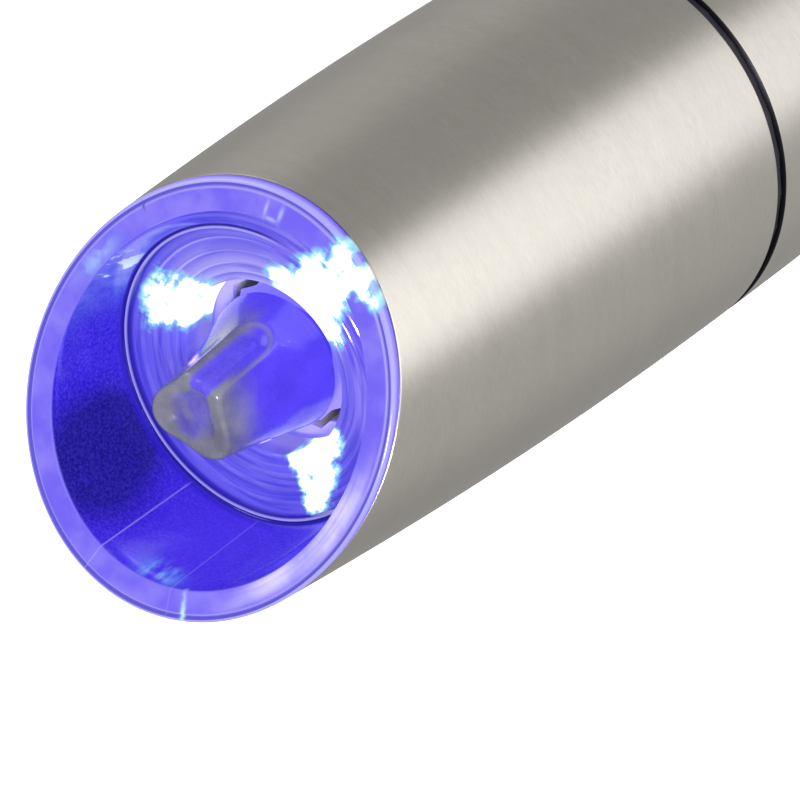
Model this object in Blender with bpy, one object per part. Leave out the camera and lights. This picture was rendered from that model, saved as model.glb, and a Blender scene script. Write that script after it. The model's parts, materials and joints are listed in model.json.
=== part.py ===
"""Battery-driven pepper mill, standing on its foot with its slant-cut mouth up.

Metres, +Z from the foot to the mouth. The origin is the centre of the foot, and the mouth's high side
faces +Y. Each body of the mill hangs from an empty, and every piece that turns or slides does so about or
along that empty's Z axis.
"""

import math

import bmesh
import bpy
from mathutils import Matrix, Vector

MM = 0.001
GAP = 0.3 * MM  # clearance between pieces that touch on the real object
OVERLAP = 0.5 * MM  # how far two shapes of one piece run into each other

# Driving dimensions of the outside.
MOUTH_RADIUS = 24.5 * MM
MOUTH_HEIGHT = 195.0 * MM  # centre of the slanted mouth above the foot
MOUTH_SLANT = math.radians(23.5)
WIDEST_RADIUS = 27.2 * MM
WIDEST_HEIGHT = 119.9 * MM
FOOT_RADIUS = 22.9 * MM
JOINT_HEIGHT = 106.7 * MM  # top edge of the rear sleeve
JOINT_RING_WIDTH = 1.6 * MM
JOINT_RING_INSET = 0.5 * MM
JOINT_GAP = 0.15 * MM
SLEEVE_WALL = 0.7 * MM
LINER_WALL = 1.5 * MM
FRONT_EDGE = JOINT_HEIGHT + JOINT_RING_WIDTH + 2 * JOINT_GAP  # lower edge of the front sleeve
FOOT_RING_INNER = 14.7 * MM
FOOT_RING_OUTER = 20.5 * MM

# Power unit.
CELL_RADIUS = 5.25 * MM
CELL_LENGTH = 44.5 * MM
CELL_CIRCLE = 11.8 * MM
CELL_FOOT = 10.4 * MM
CELLS = 6
BOARD_HEIGHT = 61.0 * MM
SWITCH_PLACE = 17.2 * MM
SWITCH_FOOT = 62.7 * MM
SWITCH_WALL = 0.8 * MM
BALL_RADIUS = 1.7 * MM
MOTOR_RADIUS = 12.0 * MM
MOTOR_FOOT = 62.8 * MM
MOTOR_TOP = 92.0 * MM
MOTOR_SHAFT_RADIUS = 1.0 * MM

# Two planetary stages in one ring gear.
MODULE = 0.5 * MM
SUN_TEETH = 12
PLANET_TEETH = 18
RING_TEETH = 48
PLANETS = 3
PRESSURE_ANGLE = math.radians(20)
ADDENDUM = 0.9 * MODULE
DEDENDUM = 1.2 * MODULE
BACKLASH = 0.10 * MM
GEAR_CENTRES = MODULE * (SUN_TEETH + PLANET_TEETH) / 2
STAGE_1 = 96.0 * MM
STAGE_2 = 102.6 * MM
GEAR_WIDTH = 4.4 * MM
HOUSING_RADIUS = 16.5 * MM
HOUSING_FOOT = 92.3 * MM
HOUSING_TOP = 109.0 * MM
HOUSING_PLATE = 1.8 * MM
CARRIER_RADIUS = 10.6 * MM
CARRIER_PLATE = 1.4 * MM
PIN_RADIUS = 1.0 * MM
OUTPUT_RADIUS = 3.6 * MM
BUSH_RADIUS = 5.35 * MM
COVER_FOOT = 109.4 * MM
COVER_TOP = 111.0 * MM
COVER_SCREW_FOOT = 103.5 * MM
SCREW_HOLE = 1.1 * MM

# Bayonet between the power unit and the head.
COLLAR_RADIUS = 22.0 * MM
COLLAR_BORE = 20.0 * MM
COLLAR_TOP = 113.8 * MM
COLLAR_LUGS = (111.8 * MM, 113.6 * MM, 23.2 * MM)  # foot, top, tip radius
COLLAR_LUG_HALF = math.radians(18)
LINER_LUGS = (109.2 * MM, 111.3 * MM, 22.5 * MM)
LINER_LUG_HALF = math.radians(14)
LUG_TURN = math.radians(45)  # twist that locks the head
KEY_HALF = math.radians(5)
KEY_HEIGHT = 2.4 * MM
DOG_HALF = math.radians(15)

# Head.
LINER_TOP = 167.6 * MM
SPIDER_FOOT = 161.5 * MM
SPIDER_TOP = 163.6 * MM
BURR_FOOT = 164.0 * MM
BURR_TOP = 176.0 * MM
BURR_RADIUS = 14.2 * MM
BURR_TOOTH = 0.8 * MM
LAMP_BOARD_FOOT = 176.3 * MM
LAMP_BOARD_TOP = 177.3 * MM
LAMP_CIRCLE = 15.3 * MM
LAMP_RADIUS = 1.5 * MM
LAMP_TOP = 180.3 * MM
LAMP_TURN = math.radians(2)
BELL_FOOT = 168.0 * MM
BELL_FLOOR = 184.0 * MM
BELL_FLOOR_RADIUS = 18.9 * MM
BELL_LIP_WIDTH = 3.6 * MM
BELL_LIP_HEIGHT = 1.3 * MM
BELL_STEPS = 3
THROAT_RADIUS = 11.4 * MM
LEAD_WALL = 23.2 * MM  # how far out the lamp leads run up the chamber wall
LEAD_WIRE = 0.4 * MM
SHAFT_SIDE = 3.6 * MM
SHAFT_SQUARE_TOP = 179.0 * MM
SHAFT_TOP = 190.0 * MM
KNOB_FOOT = 177.0 * MM
KNOB_SEAT = 180.3 * MM
KNOB_TOP = 197.4 * MM
KNOB_SEAT_RADIUS = 8.9 * MM
KNOB_TOP_RADIUS = 6.2 * MM
KNOB_HOLLOW = 0.27  # how far the faces between the lobes are drawn in, as a share of the radius
KNOB_HOLLOW_FULL = 0.55  # share of the knob's height at which they are fully drawn in
KNOB_LOBE_ANGLE = math.radians(24)

ROUND = 32  # sides of the large round pieces


# Outlines and shapes.


def barrel_radius(z):
    """Outer radius of the mill at height z: one bow up to the widest place and another above it."""
    below = (WIDEST_RADIUS - FOOT_RADIUS) / WIDEST_HEIGHT**2
    above = (WIDEST_RADIUS - MOUTH_RADIUS) / (MOUTH_HEIGHT - WIDEST_HEIGHT) ** 2
    bow = above if z > WIDEST_HEIGHT else below
    return WIDEST_RADIUS - bow * (z - WIDEST_HEIGHT) ** 2


def mouth_plane(radius, angle):
    """Height of the slanted mouth plane at this place."""
    return MOUTH_HEIGHT + math.tan(MOUTH_SLANT) * radius * math.sin(angle)


def on_barrel(inset, z):
    """Outline point under the barrel surface at a fixed height."""
    return lambda angle: (barrel_radius(z) - inset, z)


def on_mouth(inset, drop):
    """Outline point under the barrel surface, drop below the mouth plane."""

    def place(angle):
        z = MOUTH_HEIGHT
        for _ in range(4):
            z = mouth_plane(barrel_radius(z) - inset, angle) - drop
        return barrel_radius(z) - inset, z

    return place


def between(first, second, share):
    """Outline point part of the way up the barrel surface from first to second, with first's inset."""

    def place(angle):
        r0, z0 = first(angle)
        _, z1 = second(angle)
        z = z0 + share * (z1 - z0)
        return barrel_radius(z) - (barrel_radius(z0) - r0), z

    return place


def turned_bmesh(outline, segments=ROUND):
    """Solid of revolution.

    The outline's points are (radius, height) or functions of the angle, in order round the section.
    """
    bm = bmesh.new()
    rings = []
    for point in outline:
        place = point if callable(point) else (lambda angle, p=point: p)
        if place(0)[0] == 0:
            rings.append([bm.verts.new((0, 0, place(0)[1]))])
            continue
        ring = []
        for i in range(segments):
            angle = 2 * math.pi * i / segments
            r, z = place(angle)
            ring.append(bm.verts.new((r * math.cos(angle), r * math.sin(angle), z)))
        rings.append(ring)
    for a, b in zip(rings, rings[1:] + rings[:1]):
        if len(a) == 1 and len(b) == 1:
            continue
        for i in range(segments):
            j = (i + 1) % segments
            corners = [a[i % len(a)], a[j % len(a)], b[j % len(b)], b[i % len(b)]]
            bm.faces.new(list(dict.fromkeys(corners)))
    bmesh.ops.recalc_face_normals(bm, faces=bm.faces)
    return bm


def prism_bmesh(loops, foot, top):
    """Straight extrusion of a flat outline. The first loop is the outside and the others are holes."""
    bm = bmesh.new()
    edges = []
    for loop in loops:
        verts = [bm.verts.new((x, y, foot)) for x, y in loop]
        edges += [bm.edges.new((a, b)) for a, b in zip(verts, verts[1:] + verts[:1])]
    bmesh.ops.triangle_fill(bm, use_beauty=True, edges=edges)
    grown = bmesh.ops.extrude_face_region(bm, geom=bm.faces[:])
    lifted = [v for v in grown["geom"] if isinstance(v, bmesh.types.BMVert)]
    bmesh.ops.translate(bm, vec=(0, 0, top - foot), verts=lifted)
    bmesh.ops.recalc_face_normals(bm, faces=bm.faces)
    return bm


def circle(radius, centre=(0, 0), segments=16, turn=0.0):
    return [
        (
            centre[0] + radius * math.cos(turn + 2 * math.pi * i / segments),
            centre[1] + radius * math.sin(turn + 2 * math.pi * i / segments),
        )
        for i in range(segments)
    ]


def rectangle(width, depth, centre=(0, 0)):
    x, y = width / 2, depth / 2
    return [(centre[0] + a * x, centre[1] + b * y) for a, b in ((-1, -1), (1, -1), (1, 1), (-1, 1))]


def sector(inner, outer, middle, half, segments=6):
    """Outline of a piece of a ring, half an angle each way from its middle."""
    angles = [middle - half + 2 * half * i / segments for i in range(segments + 1)]
    outside = [(outer * math.cos(a), outer * math.sin(a)) for a in angles]
    inside = [(inner * math.cos(a), inner * math.sin(a)) for a in reversed(angles)]
    return outside + inside


def turned_to(bm, angle):
    """The same mesh, turned about the mill's axis."""
    bmesh.ops.rotate(bm, matrix=Matrix.Rotation(angle, 3, "Z"), verts=bm.verts)
    return bm


def polar(radius, angle):
    return radius * math.cos(angle), radius * math.sin(angle)


def involute(angle):
    return math.tan(angle) - angle


def gear_loop(teeth, internal=False, turn=0.0):
    """Gear outline with a tooth centred on the angle turn.

    A flank is straight between two points of the involute.

    An internal gear's teeth point inwards.
    """
    pitch = MODULE * teeth / 2
    base = pitch * math.cos(PRESSURE_ANGLE)
    side = -1 if internal else 1
    tip = pitch + side * ADDENDUM
    root = pitch - side * DEDENDUM
    half_tooth = math.pi / (2 * teeth) - BACKLASH / (2 * pitch)
    flank = []
    for r in (root, tip):
        lean = involute(PRESSURE_ANGLE) - involute(math.acos(min(1.0, base / r)))
        flank.append((r, half_tooth - lean if internal else half_tooth + lean))
    rising = [(r, -a) for r, a in flank]
    falling = [(r, a) for r, a in reversed(flank)]
    loop = []
    for k in range(teeth):
        centre = turn + 2 * math.pi * k / teeth
        loop += [polar(r, centre + a) for r, a in rising + falling]
    return loop


# Objects, materials and assembly.


def material(name, colour, roughness, metallic=0.0, transmission=0.0, glow=0.0):
    found = bpy.data.materials.get(name)
    if found:
        return found
    made = bpy.data.materials.new(name)
    made.use_nodes = True
    shader = made.node_tree.nodes["Principled BSDF"]
    shader.inputs["Base Color"].default_value = (*colour, 1)
    shader.inputs["Roughness"].default_value = roughness
    shader.inputs["Metallic"].default_value = metallic
    shader.inputs["Transmission Weight"].default_value = transmission
    if glow:
        shader.inputs["Emission Color"].default_value = (*colour, 1)
        shader.inputs["Emission Strength"].default_value = glow
    return made


def steel():
    return material("brushed_steel", (0.60, 0.57, 0.53), 0.28, 1.0)


def bright_steel():
    return material("bright_steel", (0.72, 0.72, 0.72), 0.18, 1.0)


def black_plastic():
    return material("black_plastic", (0.03, 0.03, 0.035), 0.45)


def grey_plastic():
    return material("grey_plastic", (0.30, 0.30, 0.31), 0.5)


def white_plastic():
    return material("white_plastic", (0.80, 0.80, 0.78), 0.45)


def clear_acrylic():
    return material("clear_acrylic", (0.85, 0.88, 1.0), 0.08, transmission=1.0)


def knob_plastic():
    return material("knob_plastic", (0.42, 0.42, 0.44), 0.35)


def ceramic():
    return material("ceramic", (0.86, 0.85, 0.80), 0.55)


def brass():
    return material("brass", (0.78, 0.58, 0.25), 0.3, 1.0)


def rubber():
    return material("rubber", (0.02, 0.02, 0.02), 0.8)


def cell_jacket():
    return material("cell_jacket", (0.10, 0.12, 0.16), 0.35, 0.4)


def board_green():
    return material("board_green", (0.03, 0.16, 0.07), 0.5)


def lamp_blue():
    return material("lamp_blue", (0.25, 0.35, 1.0), 0.1, glow=4.0)


def frame(name, parent=None, location=(0, 0, 0)):
    """Empty that carries one moving body, at its joint's axis."""
    empty = bpy.data.objects.new(name, None)
    bpy.context.scene.collection.objects.link(empty)
    empty.parent = parent
    empty.location = location
    return empty


def solid(name, bm, finish, carrier=None, location=(0, 0, 0)):
    """Object made from a bmesh, shaded smooth but for its sharp edges."""
    mesh = bpy.data.meshes.new(name)
    bm.to_mesh(mesh)
    bm.free()
    mesh.shade_smooth()
    mesh.set_sharp_from_angle(angle=math.radians(35))
    mesh.materials.append(finish)
    made = bpy.data.objects.new(name, mesh)
    bpy.context.scene.collection.objects.link(made)
    made.parent = carrier
    made.location = location
    return made


def combine(target, tool_bmesh, operation):
    """Boolean of target with a hidden helper, in target's own frame."""
    helper = solid(f"{target.name}_tool_{len(target.modifiers)}", tool_bmesh, target.data.materials[0])
    helper.parent = target
    helper.hide_render = True
    helper.display_type = "WIRE"
    boolean = target.modifiers.new(operation.lower(), "BOOLEAN")
    boolean.operation = operation
    boolean.solver = "EXACT"
    boolean.object = helper


def add(target, *tools):
    for tool in tools:
        combine(target, tool, "UNION")


def cut(target, *tools):
    for tool in tools:
        combine(target, tool, "DIFFERENCE")


def disc(radius, foot, top, centre=(0, 0), segments=16):
    return prism_bmesh([circle(radius, centre, segments)], foot, top)


def ring(inner, outer, foot, top, segments=ROUND):
    return turned_bmesh([(outer, foot), (outer, top), (inner, top), (inner, foot)], segments)


# Rear casing.


def rear_sleeve(body):
    rows = 6
    foot = 1.0 * MM
    heights = [foot + (JOINT_HEIGHT - foot) * i / rows for i in range(rows + 1)]
    outside = [on_barrel(0, z) for z in heights]
    inside = [on_barrel(SLEEVE_WALL, z) for z in heights[::-2]]
    return solid("rear_sleeve", turned_bmesh(outside + inside), steel(), body)


def rear_liner(body):
    foot, floor, top = 4.6 * MM, 6.4 * MM, 104.6 * MM
    outer = SLEEVE_WALL + GAP
    heights = [foot + (top - foot) * i / 3 for i in range(4)]
    outside = [on_barrel(outer, z) for z in heights]
    inside = [on_barrel(outer + LINER_WALL, z) for z in heights[:0:-1]]
    bottom = [on_barrel(outer + LINER_WALL, floor), (0, floor), (0, foot)]
    return solid("rear_liner", turned_bmesh(outside + inside + bottom), black_plastic(), body)


def base_plate(body):
    """Plug in the sleeve's foot, with the groove that holds the foot ring."""
    foot, top, groove = 1.2 * MM, 4.3 * MM, 2.1 * MM
    groove_inner, groove_outer = FOOT_RING_INNER - GAP, FOOT_RING_OUTER + GAP
    radius = barrel_radius(foot) - SLEEVE_WALL - GAP
    outline = [
        (0, foot), (groove_inner, foot), (groove_inner, groove), (groove_outer, groove),
        (groove_outer, foot), (radius, foot), (radius, top), (0, top),
    ]
    return solid("base_plate", turned_bmesh(outline), black_plastic(), body)


def foot_ring(body):
    """Rubber ring that the mill stands on."""
    inner, outer, top, edge = FOOT_RING_INNER, FOOT_RING_OUTER, 1.8 * MM, 0.4 * MM
    outline = [
        (inner + edge, 0), (outer - edge, 0), (outer, edge), (outer, top), (inner, top), (inner, edge),
    ]
    return solid("foot_ring", turned_bmesh(outline), rubber(), body)


# Power unit: battery frame, cells and contacts.


def cell_place(index):
    return polar(CELL_CIRCLE, 2 * math.pi * index / CELLS)


def battery_frame(body):
    """Two plates on a middle column, with three stays between the cells and posts for the board."""
    lower, upper = (7.0 * MM, 8.8 * MM), (57.2 * MM, 59.2 * MM)
    lower_radius, upper_radius, column_radius = 20.2 * MM, 22.6 * MM, 4.0 * MM
    stay_radius, stay_circle = 1.8 * MM, 17.6 * MM
    post_radius, post_circle = 1.6 * MM, 18.5 * MM
    inside = (lower[1] - OVERLAP, upper[0] + OVERLAP)
    made = solid("battery_frame", disc(lower_radius, *lower, segments=ROUND), grey_plastic(), body)
    add(made, disc(upper_radius, *upper, segments=ROUND), disc(column_radius, *inside, segments=6))
    for k in range(3):
        stay = polar(stay_circle, math.radians(30 + 120 * k))
        post = polar(post_circle, math.radians(90 + 120 * k))
        add(made, disc(stay_radius, *inside, stay, 8))
        add(made, disc(post_radius, upper[1] - OVERLAP, BOARD_HEIGHT - GAP, post, 8))
    return made


def battery_cells(body):
    """Six cells, each the other way up from its neighbours."""
    nub, nub_radius = 1.0 * MM, 1.9 * MM
    can = CELL_LENGTH - nub
    for k in range(CELLS):
        outline = [
            (0, 0), (CELL_RADIUS, 0), (CELL_RADIUS, can),
            (nub_radius, can), (nub_radius, CELL_LENGTH), (0, CELL_LENGTH),
        ]
        if k % 2:
            outline = [(r, CELL_LENGTH - z) for r, z in outline]
        place = (*cell_place(k), CELL_FOOT)
        solid(f"battery_cell_{k + 1}", turned_bmesh(outline, 12), cell_jacket(), body, place)


def strip_outline(first, second, radius):
    """Outline with round ends over two neighbouring cells."""
    a, b = Vector(cell_place(first)), Vector(cell_place(second))
    heading = math.atan2(*(b - a).yx)
    steps = 5
    ends = []
    for centre, start in ((b, heading - math.pi / 2), (a, heading + math.pi / 2)):
        for i in range(steps + 1):
            x, y = polar(radius, start + math.pi * i / steps)
            ends.append((centre.x + x, centre.y + y))
    return ends


def contact_pad(place, foot, top):
    """Raised dome that presses on a cell's end."""
    wide, narrow = 3.0 * MM, 1.6 * MM
    bm = turned_bmesh([(0, foot), (wide, foot), (narrow, top), (0, top)], 10)
    bmesh.ops.translate(bm, vec=(*place, 0), verts=bm.verts)
    return bm


def contacts(body):
    """Strips and terminals that put the six cells in series."""
    radius, overlap = 4.0 * MM, 0.2 * MM
    rear, front = (9.1 * MM, 9.6 * MM), (56.4 * MM, 56.9 * MM)
    rear_tip, front_tip = CELL_FOOT - GAP, CELL_FOOT + CELL_LENGTH + GAP
    for n, first in enumerate((0, 2, 4)):
        pair = (first, first + 1)
        strip = prism_bmesh([strip_outline(*pair, radius)], *rear)
        made = solid(f"rear_contact_{n + 1}", strip, brass(), body)
        add(made, *(contact_pad(cell_place(k), rear[1] - overlap, rear_tip) for k in pair))
    for n, first in enumerate((1, 3)):
        pair = (first, first + 1)
        strip = prism_bmesh([strip_outline(*pair, radius)], *front)
        made = solid(f"front_contact_{n + 1}", strip, brass(), body)
        add(made, *(contact_pad(cell_place(k), front[0] + overlap, front_tip) for k in pair))
    for name, k in (("terminal_plus", 0), ("terminal_minus", 5)):
        made = solid(name, disc(radius, *front, cell_place(k), 14), brass(), body)
        add(made, contact_pad(cell_place(k), front[0] + overlap, front_tip))


def circuit_board(body):
    """Board with the driver parts standing round the motor's end."""
    thick, radius, hole = 1.4 * MM, 21.8 * MM, 3.5 * MM
    top = BOARD_HEIGHT + thick
    part_circle, overlap = 17.0 * MM, 0.3 * MM
    # Angle in degrees, then width round the board, depth and height in millimetres.
    parts = ((75, 7, 4, 3), (130, 5, 5, 4.5), (185, 8, 4.5, 2), (240, 4, 4, 5), (300, 6, 4, 3))
    loops = [circle(radius, segments=ROUND), circle(hole)]
    made = solid("circuit_board", prism_bmesh(loops, BOARD_HEIGHT, top), board_green(), body)
    for angle, width, depth, height in parts:
        base = rectangle(depth * MM, width * MM, (part_circle, 0))
        part = prism_bmesh([base], top - overlap, top + height * MM)
        add(made, turned_to(part, math.radians(angle)))
    return made


def tilt_switch(body):
    """Can that lets its ball run to the far end when the mill is turned over."""
    foot, top, wall = SWITCH_FOOT, 73.0 * MM, SWITCH_WALL
    outer, inner, vent = 3.4 * MM, 2.2 * MM, 0.8 * MM
    outline = [
        (0, foot), (outer, foot), (outer, top), (vent, top),
        (vent, top - wall), (inner, top - wall), (inner, foot + wall), (0, foot + wall),
    ]
    return solid("tilt_switch", turned_bmesh(outline, 16), bright_steel(), body, (SWITCH_PLACE, 0, 0))


def tilt_ball(body):
    """Steel ball, at rest on the switch's floor."""
    rest = SWITCH_FOOT + SWITCH_WALL + GAP + BALL_RADIUS
    arc = [math.radians(-90 + 30 * i) for i in range(1, 6)]
    outline = [(0, -BALL_RADIUS)]
    outline += [(BALL_RADIUS * math.cos(a), BALL_RADIUS * math.sin(a)) for a in arc]
    outline += [(0, BALL_RADIUS)]
    return solid("tilt_ball", turned_bmesh(outline, 12), bright_steel(), body, (0, 0, rest))


# Power unit: motor and gearbox.


def motor_can(body):
    """Can with a bearing boss, and two holes for the screws that hold it."""
    wall, foot, boss = 1.0 * MM, 66.9 * MM, 3.0 * MM
    boss_top = MOTOR_TOP + 1.4 * MM
    bore = MOTOR_SHAFT_RADIUS + GAP
    inner, ceiling = MOTOR_RADIUS - wall, MOTOR_TOP - wall
    outline = [
        (MOTOR_RADIUS, foot), (MOTOR_RADIUS, MOTOR_TOP), (boss, MOTOR_TOP), (boss, boss_top),
        (bore, boss_top), (bore, ceiling), (inner, ceiling), (inner, foot),
    ]
    made = solid("motor_can", turned_bmesh(outline, 28), bright_steel(), body)
    for place in motor_screw_places():
        cut(made, disc(SCREW_HOLE, ceiling - MM, MOTOR_TOP + MM, place, 10))
    return made


def motor_end_cap(body):
    foot, top, bore = MOTOR_FOOT, 66.6 * MM, MOTOR_SHAFT_RADIUS + GAP
    outline = [
        (bore, foot), (MOTOR_RADIUS - MM, foot), (MOTOR_RADIUS, foot + MM),
        (MOTOR_RADIUS, top), (bore, top),
    ]
    return solid("motor_end_cap", turned_bmesh(outline, 24), white_plastic(), body)


def motor_screw_places():
    return [polar(8.0 * MM, math.radians(a)) for a in (60, 240)]


def cover_screw_places():
    return [polar(14.6 * MM, math.radians(a)) for a in (100, 280)]


def screw(name, body, place, shank_foot, head_foot, head_height, head):
    """Screw with a round head and a socket half as deep."""
    shank, socket = 0.8 * MM, 0.45 * head
    head_top = head_foot + head_height
    socket_floor = head_foot + head_height / 2
    outline = [
        (0, shank_foot), (shank, shank_foot), (shank, head_foot), (head, head_foot),
        (head, head_top), (socket, head_top), (socket, socket_floor), (0, socket_floor),
    ]
    return solid(name, turned_bmesh(outline, 10), bright_steel(), body, (*place, 0))


def screws(body):
    """Two screws hold the motor under the housing's plate, and two hold the cover."""
    motor_head = HOUSING_FOOT + HOUSING_PLATE + GAP
    cover_head = COVER_TOP + GAP
    for n, place in enumerate(motor_screw_places()):
        screw(f"motor_screw_{n + 1}", body, place, MOTOR_TOP - 2 * MM, motor_head, 1.0 * MM, 1.5 * MM)
    for n, place in enumerate(cover_screw_places()):
        screw(f"cover_screw_{n + 1}", body, place, COVER_SCREW_FOOT, cover_head, 1.2 * MM, 1.7 * MM)


def armature(body):
    """Three-pole core, commutator and the shaft through them."""
    shaft, core, commutator = (63.6 * MM, 100.5 * MM), (71.0 * MM, 87.0 * MM), (67.8 * MM, 70.2 * MM)
    commutator_radius, hub_radius, step = 2.6 * MM, 3.2 * MM, 0.5 * MM
    shoe_inner, shoe_outer, shoe_half = 7.2 * MM, 9.2 * MM, math.radians(48)
    web = rectangle(6.0 * MM, 2.4 * MM, (5.0 * MM, 0))
    made = solid("armature", disc(MOTOR_SHAFT_RADIUS, *shaft, segments=12), bright_steel(), body)
    add(made, disc(commutator_radius, *commutator, segments=12))
    add(made, disc(hub_radius, core[0] - step, core[1] + step, segments=12))
    for k in range(3):
        middle = 2 * math.pi * k / 3
        add(made, turned_to(prism_bmesh([web], core[0] + step, core[1] - step), middle))
        add(made, prism_bmesh([sector(shoe_inner, shoe_outer, middle, shoe_half)], *core))
    return made


def sun_pinion(body):
    foot = STAGE_1 - 0.2 * MM
    loops = [gear_loop(SUN_TEETH), circle(MOTOR_SHAFT_RADIUS + GAP, segments=12)]
    return solid("sun_pinion", prism_bmesh(loops, foot, STAGE_1 + GEAR_WIDTH), brass(), body)


def planet(name, carrier, stage, index):
    """Planet with a tooth gap facing the sun, turning on its carrier's pin."""
    angle = 2 * math.pi * index / PLANETS
    turn = angle + math.pi / PLANET_TEETH
    body = frame(f"{name}_axis", carrier, (*polar(GEAR_CENTRES, angle), stage))
    loops = [gear_loop(PLANET_TEETH, turn=turn), circle(PIN_RADIUS + GAP, segments=8)]
    return solid(name, prism_bmesh(loops, 0, GEAR_WIDTH), white_plastic(), body)


def carrier_plate(name, body, stage):
    """Plate above a stage, with a pin down through each planet."""
    pin_foot = stage + 0.2 * MM
    foot = stage + GEAR_WIDTH + 0.4 * MM
    top = foot + CARRIER_PLATE
    made = solid(name, disc(CARRIER_RADIUS, foot, top, segments=28), grey_plastic(), body)
    for k in range(PLANETS):
        place = polar(GEAR_CENTRES, 2 * math.pi * k / PLANETS)
        add(made, disc(PIN_RADIUS, pin_foot, foot + OVERLAP, place, 10))
    return made, top


def first_carrier(body):
    """First stage's carrier, with the second stage's sun on top."""
    made, top = carrier_plate("first_carrier", body, STAGE_1)
    add(made, prism_bmesh([gear_loop(SUN_TEETH)], top - OVERLAP, STAGE_2 + GEAR_WIDTH))
    return made


def second_carrier(body):
    """Output carrier, whose two dogs stand 90 degrees from the shaft's."""
    boss_top, dog_top = 112.8 * MM, 115.6 * MM
    dog_inner, dog_outer = 1.8 * MM, 3.4 * MM
    made, top = carrier_plate("second_carrier", body, STAGE_2)
    add(made, disc(OUTPUT_RADIUS, top - OVERLAP, boss_top, segments=24))
    for middle in (0, math.pi):
        dog = sector(dog_inner, dog_outer, middle, DOG_HALF, 2)
        add(made, prism_bmesh([dog], boss_top - OVERLAP, dog_top))
    return made


def gear_housing(body):
    """Motor plate and the ring gear that both stages run in."""
    plate_top = HOUSING_FOOT + HOUSING_PLATE
    plate_radius, boss_hole = HOUSING_RADIUS + 0.2 * MM, 3.4 * MM
    loops = [circle(HOUSING_RADIUS, segments=ROUND), gear_loop(RING_TEETH, internal=True)]
    wall = prism_bmesh(loops, plate_top - 0.4 * MM, HOUSING_TOP)
    made = solid("gear_housing", wall, grey_plastic(), body)
    loops = [circle(plate_radius, segments=ROUND), circle(boss_hole)]
    loops += [circle(SCREW_HOLE, place, 10) for place in motor_screw_places()]
    add(made, prism_bmesh(loops, HOUSING_FOOT, plate_top))
    for place in cover_screw_places():
        cut(made, disc(SCREW_HOLE, COVER_SCREW_FOOT - MM, HOUSING_TOP + MM, place, 10))
    return made


def gearbox_cover(body):
    """Closes the gearbox and makes the pepper chamber's floor when the head is on."""
    radius, bush_hole = 19.6 * MM, BUSH_RADIUS + 0.35 * MM
    loops = [circle(radius, segments=ROUND), circle(bush_hole, segments=24)]
    loops += [circle(SCREW_HOLE, place, 10) for place in cover_screw_places() + pin_places()]
    return solid("gearbox_cover", prism_bmesh(loops, COVER_FOOT, COVER_TOP), grey_plastic(), body)


def output_bush(body):
    """Flange bush that the output carrier turns in."""
    bore, foot, top = OUTPUT_RADIUS + 0.35 * MM, COVER_FOOT - 0.2 * MM, COVER_TOP + 1.4 * MM
    return solid("output_bush", ring(bore, BUSH_RADIUS, foot, top, 24), brass(), body)


def bayonet_collar(body):
    """Collar that seats on the rear liner, holds the gearbox and carries three lugs for the head."""
    flange_foot, flange_top = 105.0 * MM, 106.55 * MM
    flange = barrel_radius(flange_foot) - SLEEVE_WALL - 0.45 * MM
    bore = HOUSING_RADIUS + 0.4 * MM
    skirt_foot, skirt_outer, skirt_inner = 97.0 * MM, 24.1 * MM, 22.4 * MM
    outline = [
        (skirt_outer, skirt_foot), (skirt_outer, flange_foot), (flange, flange_foot), (flange, flange_top),
        (COLLAR_RADIUS, flange_top), (COLLAR_RADIUS, COLLAR_TOP), (COLLAR_BORE, COLLAR_TOP),
        (COLLAR_BORE, flange_top), (bore, flange_top), (bore, flange_foot), (skirt_inner, flange_foot),
        (skirt_inner, skirt_foot),
    ]
    made = solid("bayonet_collar", turned_bmesh(outline), black_plastic(), body)
    foot, top, tip = COLLAR_LUGS
    for k in range(3):
        lug = sector(COLLAR_RADIUS - 0.6 * MM, tip, 2 * math.pi * k / 3, COLLAR_LUG_HALF)
        add(made, prism_bmesh([lug], foot, top))
    return made


def pin_places():
    return [polar(17.0 * MM, math.radians(a)) for a in (30, 210)]


def contact_pins(body):
    """Sprung pins that feed the lamps through the lead feet once the head is locked."""
    radius, tip = 0.8 * MM, 0.4 * MM
    foot, shoulder, top = 109.3 * MM, 113.4 * MM, 114.0 * MM
    outline = [(0, foot), (radius, foot), (radius, shoulder), (tip, top), (0, top)]
    for name, place in zip(("contact_pin_plus", "contact_pin_minus"), pin_places()):
        solid(name, turned_bmesh(outline, 10), brass(), body, (*place, 0))


# Joint ring.


def key_angles():
    return [math.radians(a) for a in (15, 195)]


def joint_ring(body):
    """Black ring between the sleeves. Its two keys turn it with the head."""
    foot = JOINT_HEIGHT + JOINT_GAP
    top = foot + JOINT_RING_WIDTH
    inner, outer = COLLAR_RADIUS + 0.4 * MM, barrel_radius(foot) - JOINT_RING_INSET
    outline = [(inner, foot), (outer, foot), (outer, top), (inner, top)]
    made = solid("joint_ring", turned_bmesh(outline), black_plastic(), body)
    for angle in key_angles():
        key = sector(24.9 * MM, 25.9 * MM, angle, KEY_HALF, 2)
        add(made, prism_bmesh([key], top - 0.4 * MM, top + KEY_HEIGHT))
    return made


# Head.


def front_sleeve(body):
    """Upper sleeve, cut on the slant just under the bell's lip."""
    rows = 6
    low = on_barrel(0, FRONT_EDGE)
    high = on_mouth(0, BELL_LIP_HEIGHT)
    low_in = on_barrel(SLEEVE_WALL, FRONT_EDGE)
    high_in = on_mouth(SLEEVE_WALL, BELL_LIP_HEIGHT)
    outside = [between(low, high, i / rows) for i in range(rows)] + [high]
    inside = [high_in] + [between(low_in, high_in, i / rows) for i in range(rows - 2, -1, -2)]
    return solid("front_sleeve", turned_bmesh(outside + inside), steel(), body)


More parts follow.
